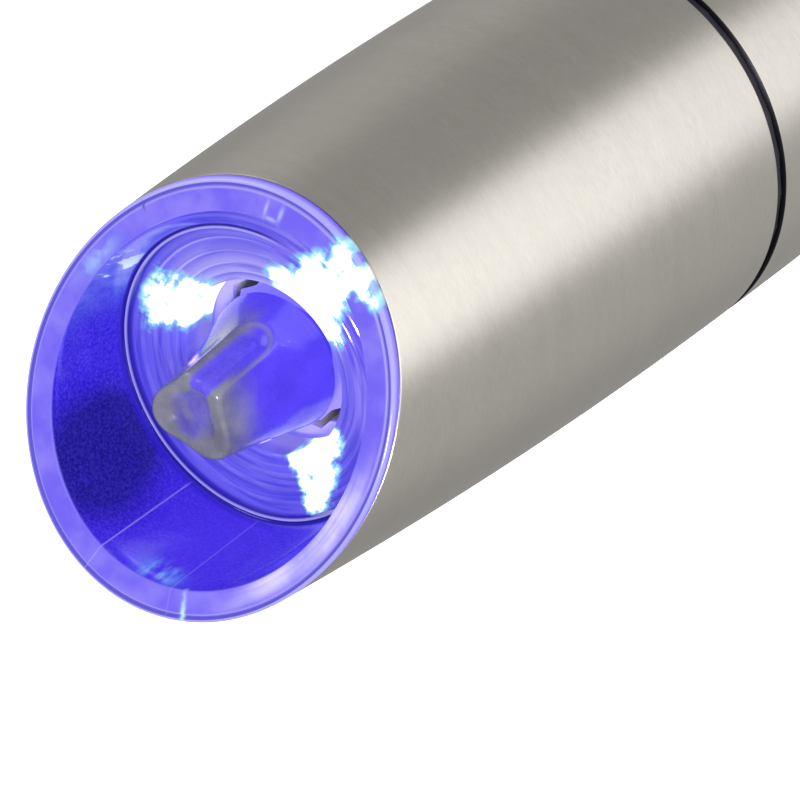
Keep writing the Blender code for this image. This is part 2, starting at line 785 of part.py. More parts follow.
def hopper_liner(body):
    """Wall of the pepper chamber, with three lugs that turn under the collar's."""
    foot = FRONT_EDGE + 0.2 * MM
    outer = SLEEVE_WALL + GAP
    rows = 3
    heights = [foot + (LINER_TOP - foot) * i / rows for i in range(rows + 1)]
    outside = [on_barrel(outer, z) for z in heights]
    inside = [on_barrel(outer + LINER_WALL, z) for z in reversed(heights)]
    made = solid("hopper_liner", turned_bmesh(outside + inside), black_plastic(), body)
    lug_foot, lug_top, tip = LINER_LUGS
    for k in range(3):
        lug = sector(tip, 25.2 * MM, 2 * math.pi * (k + 1) / 3 - LUG_TURN, LINER_LUG_HALF)
        add(made, prism_bmesh([lug], lug_foot, lug_top))
    for angle in key_angles():
        notch = sector(24.0 * MM, 27.0 * MM, angle, KEY_HALF + math.radians(0.8), 2)
        cut(made, prism_bmesh([notch], foot - 2 * MM, FRONT_EDGE + KEY_HEIGHT + 0.2 * MM))
    return made


def shaft_spider(body):
    """End of the pepper chamber: a rim plate, three arms and the shaft's hub, open between them."""
    rim_inner, rim_outer = 10.8 * MM, 23.6 * MM
    hub_inner, hub_outer, hub_foot = 2.9 * MM, 5.2 * MM, SPIDER_FOOT - 1.5 * MM
    arm, arm_inset, lead_hole = rectangle(7.6 * MM, 2.6 * MM, (8.2 * MM, 0)), 0.3 * MM, 0.9 * MM
    made = solid("shaft_spider", ring(rim_inner, rim_outer, SPIDER_FOOT, SPIDER_TOP), grey_plastic(), body)
    add(made, ring(hub_inner, hub_outer, hub_foot, SPIDER_TOP - 0.1 * MM, 24))
    for k in range(3):
        bar = prism_bmesh([arm], SPIDER_FOOT + arm_inset, SPIDER_TOP - arm_inset)
        add(made, turned_to(bar, 2 * math.pi * k / 3))
    for angle in lead_angles():
        cut(made, disc(lead_hole, SPIDER_FOOT - MM, SPIDER_TOP + MM, polar(LEAD_WALL, angle), 10))
    return made


def burr_bmesh(toothed, plain, foot, top, teeth, twist):
    """Ring with teeth on one side. toothed is that side's radii at foot and top, plain the other side's."""
    bm = bmesh.new()
    points = teeth * 2
    layers = []
    for share in (0.0, 0.5, 1.0):
        radius = toothed[0] + (toothed[1] - toothed[0]) * share
        z = foot + (top - foot) * share
        layer = []
        for i in range(points):
            r = radius - (BURR_TOOTH if i % 2 else 0)
            layer.append(bm.verts.new((*polar(r, twist * share + 2 * math.pi * i / points), z)))
        layers.append(layer)
    for z in (top, foot):
        angles = [2 * math.pi * i / points for i in range(points)]
        layers.append([bm.verts.new((*polar(plain, a), z)) for a in angles])
    for a, b in zip(layers, layers[1:] + layers[:1]):
        for i in range(points):
            j = (i + 1) % points
            bm.faces.new((a[i], a[j], b[j], b[i]))
    bmesh.ops.recalc_face_normals(bm, faces=bm.faces)
    return bm


def fixed_burr(body):
    """Ring that stands still in the head, toothed inside."""
    radii = (12.2 * MM, 10.9 * MM)
    bm = burr_bmesh(radii, BURR_RADIUS, BURR_FOOT, BURR_TOP, 18, math.radians(20))
    return solid("fixed_burr", bm, ceramic(), body)


def turning_burr(body):
    """Cone inside the fixed burr. It slides on the shaft's square and holds the spring in its underside."""
    foot, top, floor = 165.2 * MM, 176.6 * MM, 171.2 * MM
    radii, web, square, spring_well = (6.6 * MM, 9.6 * MM), 4.2 * MM, 4.2 * MM, 4.7 * MM
    core = burr_bmesh(radii, 3.2 * MM, foot, top, 12, math.radians(-25))
    made = solid("turning_burr", core, ceramic(), body)
    add(made, prism_bmesh([circle(web), rectangle(square, square)], floor, top - GAP))
    cut(made, disc(spring_well, foot - MM, floor - 0.1 * MM, segments=20))
    return made


def burr_spring(body):
    """Coil between the shaft's collar and the turning burr."""
    turns, sides, wire, radius = 4.5, 5, 0.4 * MM, 3.6 * MM
    foot, top = 165.3 * MM, 170.5 * MM
    rise = top - foot - 2 * wire
    steps = int(turns * 9)
    bm = bmesh.new()
    rings = []
    for i in range(steps + 1):
        angle = 2 * math.pi * turns * i / steps
        z = foot + wire + rise * i / steps
        section = []
        for k in range(sides):
            around = 2 * math.pi * k / sides
            r = radius + wire * math.cos(around)
            section.append(bm.verts.new((*polar(r, angle), z + wire * math.sin(around))))
        rings.append(section)
    for a, b in zip(rings, rings[1:]):
        for k in range(sides):
            n = (k + 1) % sides
            bm.faces.new((a[k], a[n], b[n], b[k]))
    bm.faces.new(rings[0])
    bm.faces.new(rings[-1])
    bmesh.ops.recalc_face_normals(bm, faces=bm.faces)
    return solid("burr_spring", bm, bright_steel(), body)


def drive_shaft(body):
    """Square shaft with a dogged foot, a collar for the spring and a round threaded end for the knob."""
    disc_foot, disc_top, disc_radius = 116.0 * MM, 118.0 * MM, 5.2 * MM
    collar_foot, collar_top, collar_radius = 163.9 * MM, 164.9 * MM, 4.6 * MM
    thread_radius = 1.7 * MM
    dog_foot, dog_inner, dog_outer = 113.2 * MM, 2.2 * MM, 5.0 * MM
    bar = prism_bmesh([rectangle(SHAFT_SIDE, SHAFT_SIDE)], disc_top - OVERLAP, SHAFT_SQUARE_TOP)
    made = solid("drive_shaft", bar, bright_steel(), body)
    add(made, disc(disc_radius, disc_foot, disc_top, segments=24))
    add(made, disc(collar_radius, collar_foot, collar_top, segments=24))
    add(made, disc(thread_radius, SHAFT_SQUARE_TOP - OVERLAP, SHAFT_TOP))
    for middle in (math.pi / 2, 3 * math.pi / 2):
        dog = sector(dog_inner, dog_outer, middle, DOG_HALF, 2)
        add(made, prism_bmesh([dog], dog_foot, disc_foot + 0.4 * MM))
    return made


def knob_radius(angle, height):
    """Tapered outline: round at the seat, three lobes with hollow faces between them towards the top."""
    share = (height - KNOB_SEAT) / (KNOB_TOP - KNOB_SEAT)
    lobe = KNOB_SEAT_RADIUS + (KNOB_TOP_RADIUS - KNOB_SEAT_RADIUS) * share
    rise = min(1, max(0, share) / KNOB_HOLLOW_FULL)
    hollow = KNOB_HOLLOW * rise**2 * (3 - 2 * rise)
    between_lobes = 0.5 - 0.5 * math.cos(3 * (angle - KNOB_LOBE_ANGLE))
    return lobe * (1 - hollow * between_lobes)


def knob(body):
    """Three-lobed finger knob, threaded on the shaft's end. Turning it sets how close the burrs run."""
    neck, bore, step = 6.0 * MM, 2.0 * MM, 2.9 * MM
    step_top, bore_top = 180.4 * MM, 192.0 * MM
    # Share of the height above the seat, and how much the outline shrinks there.
    rows = ((0, 0.94), (0.08, 1), (0.3, 1), (0.55, 1), (0.93, 0.98), (1, 0.86))

    def flank_point(share, shrink):
        z = KNOB_SEAT + (KNOB_TOP - KNOB_SEAT) * share
        return lambda angle: (shrink * knob_radius(angle, z), z)

    outline = [(step, KNOB_FOOT), (neck, KNOB_FOOT), (neck, KNOB_SEAT - 0.01 * MM)]
    outline += [flank_point(*row) for row in rows]
    outline += [(0, KNOB_TOP), (0, bore_top), (bore, bore_top), (bore, step_top), (step, step_top)]
    return solid("coarseness_knob", turned_bmesh(outline, 24), knob_plastic(), body)


def bell(body):
    """Clear mouth piece: skirt in the sleeve, slanted lip, tapering wall and stepped floor to the throat."""
    skirt, skirt_inner = SLEEVE_WALL + GAP, 21.6 * MM
    lip_drop = BELL_LIP_HEIGHT - 0.2 * MM
    throat_outer, throat_foot = THROAT_RADIUS + 1.2 * MM, LAMP_BOARD_TOP + 0.4 * MM
    ceiling = 180.7 * MM
    tread = (BELL_FLOOR_RADIUS - THROAT_RADIUS) / BELL_STEPS
    riser, slope = 0.5 * MM, 0.15 * MM
    foot, shoulder = on_barrel(skirt, BELL_FOOT), on_mouth(skirt, lip_drop)
    outline = [between(foot, shoulder, i / 3) for i in range(3)]
    outline += [shoulder, on_mouth(0, lip_drop), on_mouth(0, 0), on_mouth(BELL_LIP_WIDTH, 0)]
    outline.append((BELL_FLOOR_RADIUS, BELL_FLOOR))
    for k in range(1, BELL_STEPS):
        r = BELL_FLOOR_RADIUS - k * tread
        z = BELL_FLOOR - k * riser
        outline += [(r + slope, z + riser), (r, z)]
    outline += [
        (THROAT_RADIUS, BELL_FLOOR - (BELL_STEPS - 1) * riser), (THROAT_RADIUS, throat_foot),
        (throat_outer, throat_foot), (throat_outer, ceiling),
        (skirt_inner, ceiling), (skirt_inner, BELL_FOOT),
    ]
    return solid("bell", turned_bmesh(outline), clear_acrylic(), body)


def lamp_board(body):
    """Ring under the bell's floor that carries the lamps."""
    loops = [circle(21.0 * MM, segments=ROUND), circle(12.9 * MM, segments=24)]
    return solid("lamp_board", prism_bmesh(loops, LAMP_BOARD_FOOT, LAMP_BOARD_TOP), board_green(), body)


def lamps(body):
    """Three lamps with domed ends, under the bell's floor."""
    foot = LAMP_BOARD_TOP + GAP
    dome = LAMP_TOP - 0.7 * LAMP_RADIUS
    outline = [
        (0, foot), (LAMP_RADIUS, foot), (LAMP_RADIUS, dome),
        (0.75 * LAMP_RADIUS, dome + 0.5 * LAMP_RADIUS), (0, LAMP_TOP),
    ]
    for k in range(3):
        place = polar(LAMP_CIRCLE, LAMP_TURN + 2 * math.pi * k / 3)
        solid(f"lamp_{k + 1}", turned_bmesh(outline, 12), lamp_blue(), body, (*place, 0))


def lead_angles():
    return [math.radians(30) - LUG_TURN, math.radians(210) - LUG_TURN]


def lamp_leads(body):
    """Stiff leads up the chamber wall, from feet over the contact pins' circle to the lamp board."""
    wall = LEAD_WALL / MM
    # Radius and height in millimetres.
    route = [
        (16.0, 114.8), (18.5, 114.8), (21.2, 114.9), (22.6, 115.7), (wall, 117.6), (wall, 132.0),
        (wall, 147.0), (wall, 162.0), (22.6, 165.0), (21.0, 166.8), (20.2, 168.6), (20.1, 172.0),
        (20.1, 175.9),
    ]
    for name, angle in zip(("lamp_lead_plus", "lamp_lead_minus"), lead_angles()):
        curve = bpy.data.curves.new(name, "CURVE")
        curve.dimensions = "3D"
        curve.bevel_depth = LEAD_WIRE
        curve.bevel_resolution = 1
        curve.use_fill_caps = True
        spline = curve.splines.new("POLY")
        spline.points.add(len(route) - 1)
        for point, (r, z) in zip(spline.points, route):
            point.co = (*polar(r * MM, angle), z * MM, 1)
        curve.materials.append(brass())
        lead = bpy.data.objects.new(name, curve)
        bpy.context.scene.collection.objects.link(lead)
        lead.parent = body


def build():
    for old in list(bpy.data.objects):
        bpy.data.objects.remove(old, do_unlink=True)
    casing = frame("casing_frame")
    rear_sleeve(casing)
    rear_liner(casing)
    base_plate(casing)
    foot_ring(casing)

    unit = frame("power_unit_frame", casing)
    battery_frame(unit)
    battery_cells(unit)
    contacts(unit)
    circuit_board(unit)
    tilt_switch(unit)
    motor_can(unit)
    motor_end_cap(unit)
    gear_housing(unit)
    gearbox_cover(unit)
    output_bush(unit)
    bayonet_collar(unit)
    contact_pins(unit)
    screws(unit)
    tilt_ball(frame("ball_frame", unit, (SWITCH_PLACE, 0, 0)))

    rotor = frame("armature_frame", unit)
    armature(rotor)
    sun_pinion(rotor)
    stage_1 = frame("first_carrier_frame", unit)
    first_carrier(stage_1)
    stage_2 = frame("second_carrier_frame", unit)
    second_carrier(stage_2)
    for k in range(PLANETS):
        planet(f"first_planet_{k + 1}", stage_1, STAGE_1, k)
        planet(f"second_planet_{k + 1}", stage_2, STAGE_2, k)

    lock = frame("joint_ring_frame", unit)
    joint_ring(lock)
    head = frame("head_frame", lock)
    front_sleeve(head)
    hopper_liner(head)
    shaft_spider(head)
    fixed_burr(head)
    lamp_board(head)
    lamps(head)
    lamp_leads(head)
    bell(head)

    spindle = frame("shaft_frame", head)
    drive_shaft(spindle)
    burr_spring(spindle)
    slider = frame("turning_burr_frame", spindle)
    turning_burr(slider)
    knob(frame("knob_frame", slider))


build()
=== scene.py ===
import json
import math

import bmesh
import bpy
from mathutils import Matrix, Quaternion, Vector


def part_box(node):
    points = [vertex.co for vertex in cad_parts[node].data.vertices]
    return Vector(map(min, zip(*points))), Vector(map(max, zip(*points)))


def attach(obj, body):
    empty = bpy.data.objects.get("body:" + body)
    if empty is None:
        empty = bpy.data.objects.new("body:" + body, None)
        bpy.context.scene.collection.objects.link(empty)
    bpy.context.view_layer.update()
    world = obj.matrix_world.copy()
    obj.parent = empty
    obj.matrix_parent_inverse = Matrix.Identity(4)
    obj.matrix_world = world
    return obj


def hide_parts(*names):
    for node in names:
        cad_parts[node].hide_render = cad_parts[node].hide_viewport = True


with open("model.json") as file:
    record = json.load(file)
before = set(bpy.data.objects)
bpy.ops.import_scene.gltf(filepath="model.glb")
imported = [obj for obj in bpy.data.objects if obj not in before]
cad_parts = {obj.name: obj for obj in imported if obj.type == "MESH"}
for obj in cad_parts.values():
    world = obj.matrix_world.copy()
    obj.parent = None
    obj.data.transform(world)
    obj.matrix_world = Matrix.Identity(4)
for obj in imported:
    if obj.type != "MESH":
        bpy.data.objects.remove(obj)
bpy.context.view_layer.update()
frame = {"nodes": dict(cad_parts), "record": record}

MM = 0.001
TAU = 2 * math.pi

# The outside's driving dimensions, as the CAD has them.
SKIN = 0.02 * MM  # the fine shells stay this far inside the CAD's corners
MOUTH_RADIUS = 24.5 * MM
MOUTH_HEIGHT = 195.0 * MM
MOUTH_SLANT = math.tan(math.radians(23.5))
WIDEST_RADIUS = 27.2 * MM
WIDEST_HEIGHT = 119.9 * MM
FOOT_RADIUS = 22.9 * MM
SLEEVE_WALL = 0.7 * MM
SLEEVE_EDGE = 0.18 * MM
SLEEVE_ROWS = 48
SLEEVE_INNER_ROWS = 12
SLEEVE_END_SHARES = (0.0015, 0.003)  # rows close to each end, which keep the shading straight there
JOINT_FOOT = 106.7 * MM
JOINT_TOP = 107.5 * MM
SHELL_SEGMENTS = 256

# The bell: skirt inside the sleeve, lip, wall, bead, stepped floor and throat.
SKIRT_INSET = SLEEVE_WALL + 0.3 * MM
SKIRT_INNER_RADIUS = 21.6 * MM
SKIRT_ROWS = 10
LIP_WIDTH = 3.6 * MM
LIP_HEIGHT = 1.3 * MM
LIP_TURN = 0.35 * MM
LIP_TURN_STEPS = 5
LIP_GROOVE = (  # inset and drop in mm
    (0.50, 0.0), (0.60, 0.22), (0.80, 0.22), (0.92, 0.0), (1.10, 0.0), (1.60, 0.06), (2.40, 0.06),
    (3.20, 0.06),
)
WALL_ROWS = 10
WALL_TOP_DROP = 0.35 * MM
WALL_LEAST = 0.05 * MM  # the wall's least height, on the mouth's low side
FLOOR_RADIUS = 18.9 * MM
FLOOR_HEIGHT = 184.0 * MM
FLOOR_EDGES = (17.4 * MM, 15.6 * MM, 13.9 * MM, 12.6 * MM)
FLOOR_STEP = 0.26 * MM
STEP_ABOVE = ((0.28, 0.0), (0.10, 0.12), (0.0, 0.08))  # distance out from the edge and rise, in mm
STEP_BELOW = ((-0.12, 0.0), (-0.35, 0.0))
BEAD_HEIGHT = 1.1 * MM
BEAD_WIDTH = 0.55 * MM
BEAD_ROWS = (  # inset and drop in mm, band number
    (0.14, 0.18, 2.15), (0.24, 0.16, 2.3), (0.36, -0.02, 2.42), (0.56, -0.02, 2.6), (0.70, 0.2, 2.72),
)
THROAT_RADIUS = 11.4 * MM
THROAT_FOOT = 177.7 * MM
THROAT_WALL = 1.2 * MM
FLOOR_CEILING = 180.7 * MM

# Inside.
BURR_TOP = 176.4 * MM
BOARD_TOP = 62.45 * MM
CELL_SHOULDER = 53.4 * MM

# The knob.
KNOB_LOBE_ANGLE = math.radians(24)
KNOB_FOOT = 177.0 * MM
KNOB_NECK_RADIUS = 6.0 * MM
KNOB_SEAT = 180.3 * MM
KNOB_TOP = 197.4 * MM
KNOB_SEAT_RADIUS = 8.88 * MM
KNOB_TOP_RADIUS = 6.18 * MM
KNOB_SEAT_EDGE = 0.25 * MM
KNOB_HOLLOW = 0.27
KNOB_HOLLOW_FULL = 0.55
KNOB_END_TURN = 0.7 * MM
KNOB_TURN_STEPS = 8
KNOB_ROWS = 60
KNOB_SEGMENTS = 288
KNOB_WELL = ((0.80, 0.0), (0.70, 0.08), (0.60, 0.5), (0.50, 0.75))  # share of the radius, drop in mm
KNOB_WELL_DEPTH = 0.85 * MM
KNOB_THREAD = ((0.0, 192.0), (2.0, 192.0), (2.0, 180.4), (2.9, 180.4))  # radius and height in mm
SCOOP_HALF_WIDTH = 3.0 * MM
SCOOP_EDGE = 0.7 * SCOOP_HALF_WIDTH
SCOOP_DEPTH = 1.2 * MM
SCOOP_FOOT = 185.2 * MM
SCOOP_ANGLE = math.radians(264)

# CAD nodes that keep their own shape.
SHARP_DEGREES = 32
BEVEL_DEGREES = 50
WELD_DISTANCE = 0.001 * MM
BROKEN_EDGE = 0.12 * MM
BROKEN_EDGES = (
    "joint_ring", "foot_ring", "base_plate", "battery_frame", "bayonet_collar", "gearbox_cover",
)


# Node trees.


class Nodes:
    """A node tree, with short calls for the nodes that this script uses."""

    def __init__(self, tree):
        self.tree = tree

    def node(self, kind, **settings):
        made = self.tree.nodes.new(kind)
        for key, value in settings.items():
            setattr(made, key, value)
        return made

    def feed(self, socket, value):
        """Links a socket to an output, or sets it to a constant."""
        if isinstance(value, bpy.types.NodeSocket):
            self.tree.links.new(value, socket)
        else:
            socket.default_value = value

    def place(self, kind="Object"):
        return self.node("ShaderNodeTexCoord").outputs[kind]

    def math(self, operation, a, b=0.0, c=0.0):
        made = self.node("ShaderNodeMath", operation=operation)
        for socket, value in zip(made.inputs, (a, b, c)):
            self.feed(socket, value)
        return made.outputs[0]

    def plus(self, a, b):
        return self.math("ADD", a, b)

    def times(self, a, b):
        return self.math("MULTIPLY", a, b)

    def vector(self, operation, a, b=(0.0, 0.0, 0.0)):
        made = self.node("ShaderNodeVectorMath", operation=operation)
        self.feed(made.inputs[0], a)
        self.feed(made.inputs[1], b)
        return made.outputs["Value" if operation in ("DOT_PRODUCT", "DISTANCE") else "Vector"]

    def split(self, vector):
        made = self.node("ShaderNodeSeparateXYZ")
        self.feed(made.inputs[0], vector)
        return tuple(made.outputs)

    def join(self, *values):
        made = self.node("ShaderNodeCombineXYZ")
        for socket, value in zip(made.inputs, values):
            self.feed(socket, value)
        return made.outputs[0]

    def span(self, value, low, high, to_low=0.0, to_high=1.0):
        """Soft step from to_low to to_high while the value goes from low to high."""
        made = self.node("ShaderNodeMapRange", interpolation_type="SMOOTHSTEP")
        for socket, entry in zip(made.inputs, (value, low, high, to_low, to_high)):
            self.feed(socket, entry)
        return made.outputs[0]


class Finish(Nodes):
    """One procedural material round its Principled shader."""

    def __init__(self, name):
        self.material = bpy.data.materials.new(name)
        self.material.use_nodes = True
        super().__init__(self.material.node_tree)
        self.shader = self.tree.nodes["Principled BSDF"]

    def set(self, **values):
        """Sets sockets of the shader, named with underscores for spaces."""
        for key, value in values.items():
            self.feed(self.shader.inputs[key.replace("_", " ")], value)

    def noise(self, vector, scale, detail=3.0, roughness=0.5):
        made = self.node("ShaderNodeTexNoise")
        self.feed(made.inputs["Vector"], vector)
        for key, value in (("Scale", scale), ("Detail", detail), ("Roughness", roughness)):
            made.inputs[key].default_value = value
        return made.outputs["Fac"]

    def attribute(self, name):
        return self.node("ShaderNodeAttribute", attribute_name=name).outputs["Fac"]

    def mix(self, share, a, b):
        """Colour between a and b."""
        made = self.node("ShaderNodeMix", data_type="RGBA")
        self.feed(made.inputs["Factor"], share)
        for key, value in (("A", a), ("B", b)):
            socket = next(s for s in made.inputs if s.name == key and s.type == "RGBA")
            self.feed(socket, (*value, 1) if isinstance(value, tuple) else value)
        return next(s for s in made.outputs if s.type == "RGBA")

    def ramp(self, value, stops):
        """Colour ramp over stops of (position, colour)."""
        made = self.node("ShaderNodeValToRGB")
        self.feed(made.inputs[0], value)
        points = made.color_ramp.elements
        while len(points) < len(stops):
            points.new(0.5)
        for point, (position, colour) in zip(points, stops):
            point.position = position
            point.color = (*colour, 1)
        return made.outputs[0]

    def bump(self, height, strength, distance):
        made = self.node("ShaderNodeBump")
        made.inputs["Strength"].default_value = strength
        made.inputs["Distance"].default_value = distance
        self.feed(made.inputs["Height"], height)
        self.feed(self.shader.inputs["Normal"], made.outputs["Normal"])

    def glow_at(self, place, centre, size):
        """Falls from 1 at a point to 0 a few sizes away. Centre and size are in mm."""
        centre = tuple(c * MM for c in centre)
        distance = self.math("DIVIDE", self.vector("DISTANCE", place, centre), size * MM)
        return self.math("EXPONENT", self.times(self.math("POWER", distance, 2.0), -1.0))


class RoundFinish(Finish):
    """A finish that changes with the place round the mill's axis."""

    def __init__(self, name):
        super().__init__(name)
        self.here = self.place()
        self.x, self.y, self.z = self.split(self.here)
        squared = self.math("MULTIPLY_ADD", self.x, self.x, self.times(self.y, self.y))
        self.radius = self.math("SQRT", squared)

    def facing(self, degrees):
        """Cosine of the azimuth away from a direction."""
        c, s = polar(1, math.radians(degrees))
        along = self.math("MULTIPLY_ADD", self.x, c, self.times(self.y, s))
        return self.math("DIVIDE", along, self.radius)

    def patch(self, radius, degrees, deep, wide):
        """Soft oval at a radius and azimuth, deep along the radius and wide across it, in mm."""
        c, s = polar(1, math.radians(degrees))
        along = self.math("MULTIPLY_ADD", self.x, c, self.math("MULTIPLY_ADD", self.y, s, -radius * MM))
        across = self.math("MULTIPLY_ADD", self.y, c, self.times(self.x, -s))
        along = self.math("POWER", self.math("DIVIDE", along, deep * MM), 2.0)
        across = self.math("POWER", self.math("DIVIDE", across, wide * MM), 2.0)
        return self.math("EXPONENT", self.times(self.plus(along, across), -1.0))

    def patches(self, places, operation):
        """Several patches joined by one operation."""
        total = self.patch(*places[0])
        for place in places[1:]:
            total = self.math(operation, total, self.patch(*place))
        return total


# Finishes.


def polar(radius, angle):
    return radius * math.cos(angle), radius * math.sin(angle)


def brushed_steel():
    """Stainless sleeve, brushed round and round, so that its highlight is drawn out along the mill.

    The rear sleeve's end face, down in the joint, is painted near-black as shade.
    """
    f = Finish("brushed_steel")
    place = f.place()
    fine = f.noise(f.vector("MULTIPLY", place, (700.0, 700.0, 5200.0)), 1.0, 5.0, 0.75)
    broad = f.noise(f.vector("MULTIPLY", place, (60.0, 60.0, 500.0)), 1.0, 3.0)
    drift = f.noise(place, 30.0, 2.0)
    grain = f.plus(f.times(fine, 0.8), f.times(broad, 0.2))
    colour = f.mix(f.span(grain, 0.3, 0.7), (0.500, 0.474, 0.430), (0.590, 0.562, 0.515))
    colour = f.mix(f.span(drift, 0.35, 0.65, 0.0, 0.35), colour, (0.545, 0.518, 0.476))
    z = f.split(place)[2]
    # Painted shade: a thin band at the rear sleeve's end face, in the joint, goes near-black.
    rear_end = f.span(z, JOINT_FOOT - 0.22 * MM, JOINT_FOOT - 0.10 * MM)
    painted_joint_shade = f.times(rear_end, f.span(z, JOINT_TOP + 0.5 * MM, JOINT_TOP))
    colour = f.mix(painted_joint_shade, colour, (0.030, 0.028, 0.036))
    f.set(Base_Color=colour, Metallic=1.0, Anisotropic=0.85, Anisotropic_Rotation=0.25)
    f.set(Roughness=f.span(grain, 0.25, 0.75, 0.31, 0.37))
    f.set(Tangent=f.node("ShaderNodeTangent", direction_type="RADIAL", axis="Z").outputs[0])
    f.bump(fine, 0.035, 0.015 * MM)
    return f


def metal(name, colour, roughness, scale, contrast=0.12):
    """Bare metal with faint handling and tarnish."""
    f = Finish(name)
    place = f.place()
    cloud = f.noise(place, scale, 4.0)
    scratches = f.noise(f.vector("MULTIPLY", place, (1.0, 1.0, 9.0)), scale * 6, 3.0, 0.6)
    dull = tuple(c * (1 - contrast) for c in colour)
    f.set(Base_Color=f.mix(f.span(cloud, 0.3, 0.7), dull, colour), Metallic=1.0)
    f.set(Roughness=f.span(cloud, 0.3, 0.7, roughness * 1.35, roughness * 0.8))
    f.bump(scratches, 0.05, 0.02 * MM)
    return f


def moulded(name, colour, roughness, grain=2600.0, depth=0.12, specular=0.5):
    """Moulded plastic or rubber with a fine texture and faint flow marks."""
    f = Finish(name)
    place = f.place()
    texture = f.noise(place, grain, 3.0, 0.6)
    flow = f.noise(f.vector("MULTIPLY", place, (1.0, 1.0, 0.25)), 90.0, 3.0)
    lighter = tuple(min(1.0, c * 1.25 + 0.004) for c in colour)
    f.set(Base_Color=f.mix(f.span(flow, 0.35, 0.65), colour, lighter), Specular_IOR_Level=specular)
    f.set(Roughness=f.span(texture, 0.3, 0.7, roughness * 0.85, roughness * 1.15))
    f.bump(texture, depth, 0.03 * MM)
    return f


def base_colour(f):
    return f.shader.inputs["Base Color"].links[0].from_socket


def changed_above(f, height, colour, metallic):
    """The finish with another colour over a height: the parts on a board, or the bare end of a cell."""
    share = f.span(f.split(f.place())[2], height, height + 0.1 * MM)
    tint = f.mix(f.noise(f.place(), 700.0), tuple(0.8 * c for c in colour), colour)
    f.set(Base_Color=f.mix(share, base_colour(f), tint), Metallic=f.times(share, metallic))
    return f


def lit_ceramic():
    """White burr ceramic, its top faces painted with the lamps' blue light, in colour and as glow."""
    f = moulded("ceramic", (0.72, 0.70, 0.64), 0.5, 3800.0, 0.22)
    painted_lamp_light = f.span(f.split(f.place())[2], BURR_TOP - 1.5 * MM, BURR_TOP)
    # Painted light: the lamps' blue, in the colour and as glow.
    f.set(Base_Color=f.mix(painted_lamp_light, base_colour(f), (0.16, 0.13, 0.62)))
    f.set(Emission_Color=(0.23, 0.19, 0.85, 1.0), Emission_Strength=f.times(painted_lamp_light, 0.75))
    return f


# The bell's painted light: every colour below stands in for the lamps' light and shade. The bands are
# stops of band number and colour, and the treads of share of the floor's width and colour.
DEEP_BLUE = (0.030, 0.014, 0.66)
DARK_BLUE = (0.016, 0.011, 0.27)
LAVENDER = (0.185, 0.140, 0.86)
LIGHT_BLUE = (0.24, 0.20, 0.88)
PALE = (0.40, 0.37, 0.90)
CYAN = (0.26, 0.62, 0.88)
WHITE = (1.0, 1.0, 1.0)
BLACK = (0.0, 0.0, 0.0)
FIRST_BAND, BAND_COUNT = -1.0, 6
# Pale bands are painted highlights on the lip's edges and the bead; dark bands are painted shade in the
# groove and on the bead.
BELL_BANDS = (
    (-1.0, DEEP_BLUE), (-0.12, LAVENDER), (-0.05, PALE), (0.03, PALE), (0.06, (0.10, 0.085, 0.56)),
    (0.20, (0.12, 0.095, 0.62)), (0.25, PALE), (0.32, LIGHT_BLUE), (0.42, LAVENDER), (0.90, LAVENDER),
    (0.98, LIGHT_BLUE), (1.02, DEEP_BLUE), (1.92, DEEP_BLUE), (2.05, DARK_BLUE), (2.30, DARK_BLUE),
    (2.42, PALE), (2.60, (0.34, 0.30, 0.90)), (2.72, DARK_BLUE), (3.0, (0.05, 0.035, 0.60)),
    (3.12, LAVENDER), (4.0, LAVENDER), (4.6, (0.30, 0.26, 0.86)),
)
# Pale stops are painted highlights on the steps' raised edges.
FLOOR_TREADS = (
    (0.0, (0.12, 0.10, 0.74)), (0.10, (0.21, 0.19, 0.84)), (0.19, (0.16, 0.14, 0.80)), (0.21, PALE),
    (0.25, (0.17, 0.145, 0.82)), (0.43, (0.30, 0.27, 0.85)), (0.45, (0.52, 0.49, 0.90)),
    (0.48, (0.20, 0.17, 0.82)), (0.66, (0.42, 0.38, 0.87)), (0.68, (0.60, 0.57, 0.92)),
    (0.71, (0.24, 0.21, 0.82)), (0.84, (0.46, 0.43, 0.88)), (0.87, (0.20, 0.17, 0.80)),
    (1.0, (0.45, 0.42, 0.88)),
)

# The darker and the lighter colour of each grain, in the painted light's blues; the shade grain is for the
# wall's painted shade.
WALL_GRAIN = ((0.026, 0.010, 0.60), (0.085, 0.05, 0.84))
SHADE_GRAIN = ((0.008, 0.006, 0.15), (0.026, 0.020, 0.34))
LOW_WALL_GRAIN = ((0.10, 0.085, 0.76), (0.19, 0.165, 0.84))
FLOOR_GRAIN = ((0.045, 0.030, 0.66), (0.15, 0.115, 0.84))
STREAK_GRAIN = ((0.12, 0.085, 0.78), (0.27, 0.22, 0.88))
LIP_GRAIN = ((0.155, 0.12, 0.84), (0.25, 0.20, 0.87))

# Places in the bell: radius, azimuth in degrees, extent along the radius and across it, in mm.
# Painted light: a brighter patch of wall and a glare on it, sheens and a glint on the lip.
BRIGHT_WALL = (20.0, 97, 6.0, 9.0)
LEFT_GLARE = (20.4, 337, 3.0, 5.2)
LIP_GLEAMS = ((21.9, 170, 1.5, 6.5), (21.3, 143, 1.3, 5.0))
LIP_GLINT = (22.4, 336, 1.2, 3.0)
# A bright line of painted light across the lip.
LIP_BRIGHT_LINE = (22.6, 109.5, 1.9, 0.30)
GATE_MARKS = ((22.9, 275.6, 0.9, 0.22), (22.9, 270.4, 0.9, 0.30), (22.0, 273, 0.22, 0.9))
LIP_TICK = (24.0, 316, 0.5, 0.16)
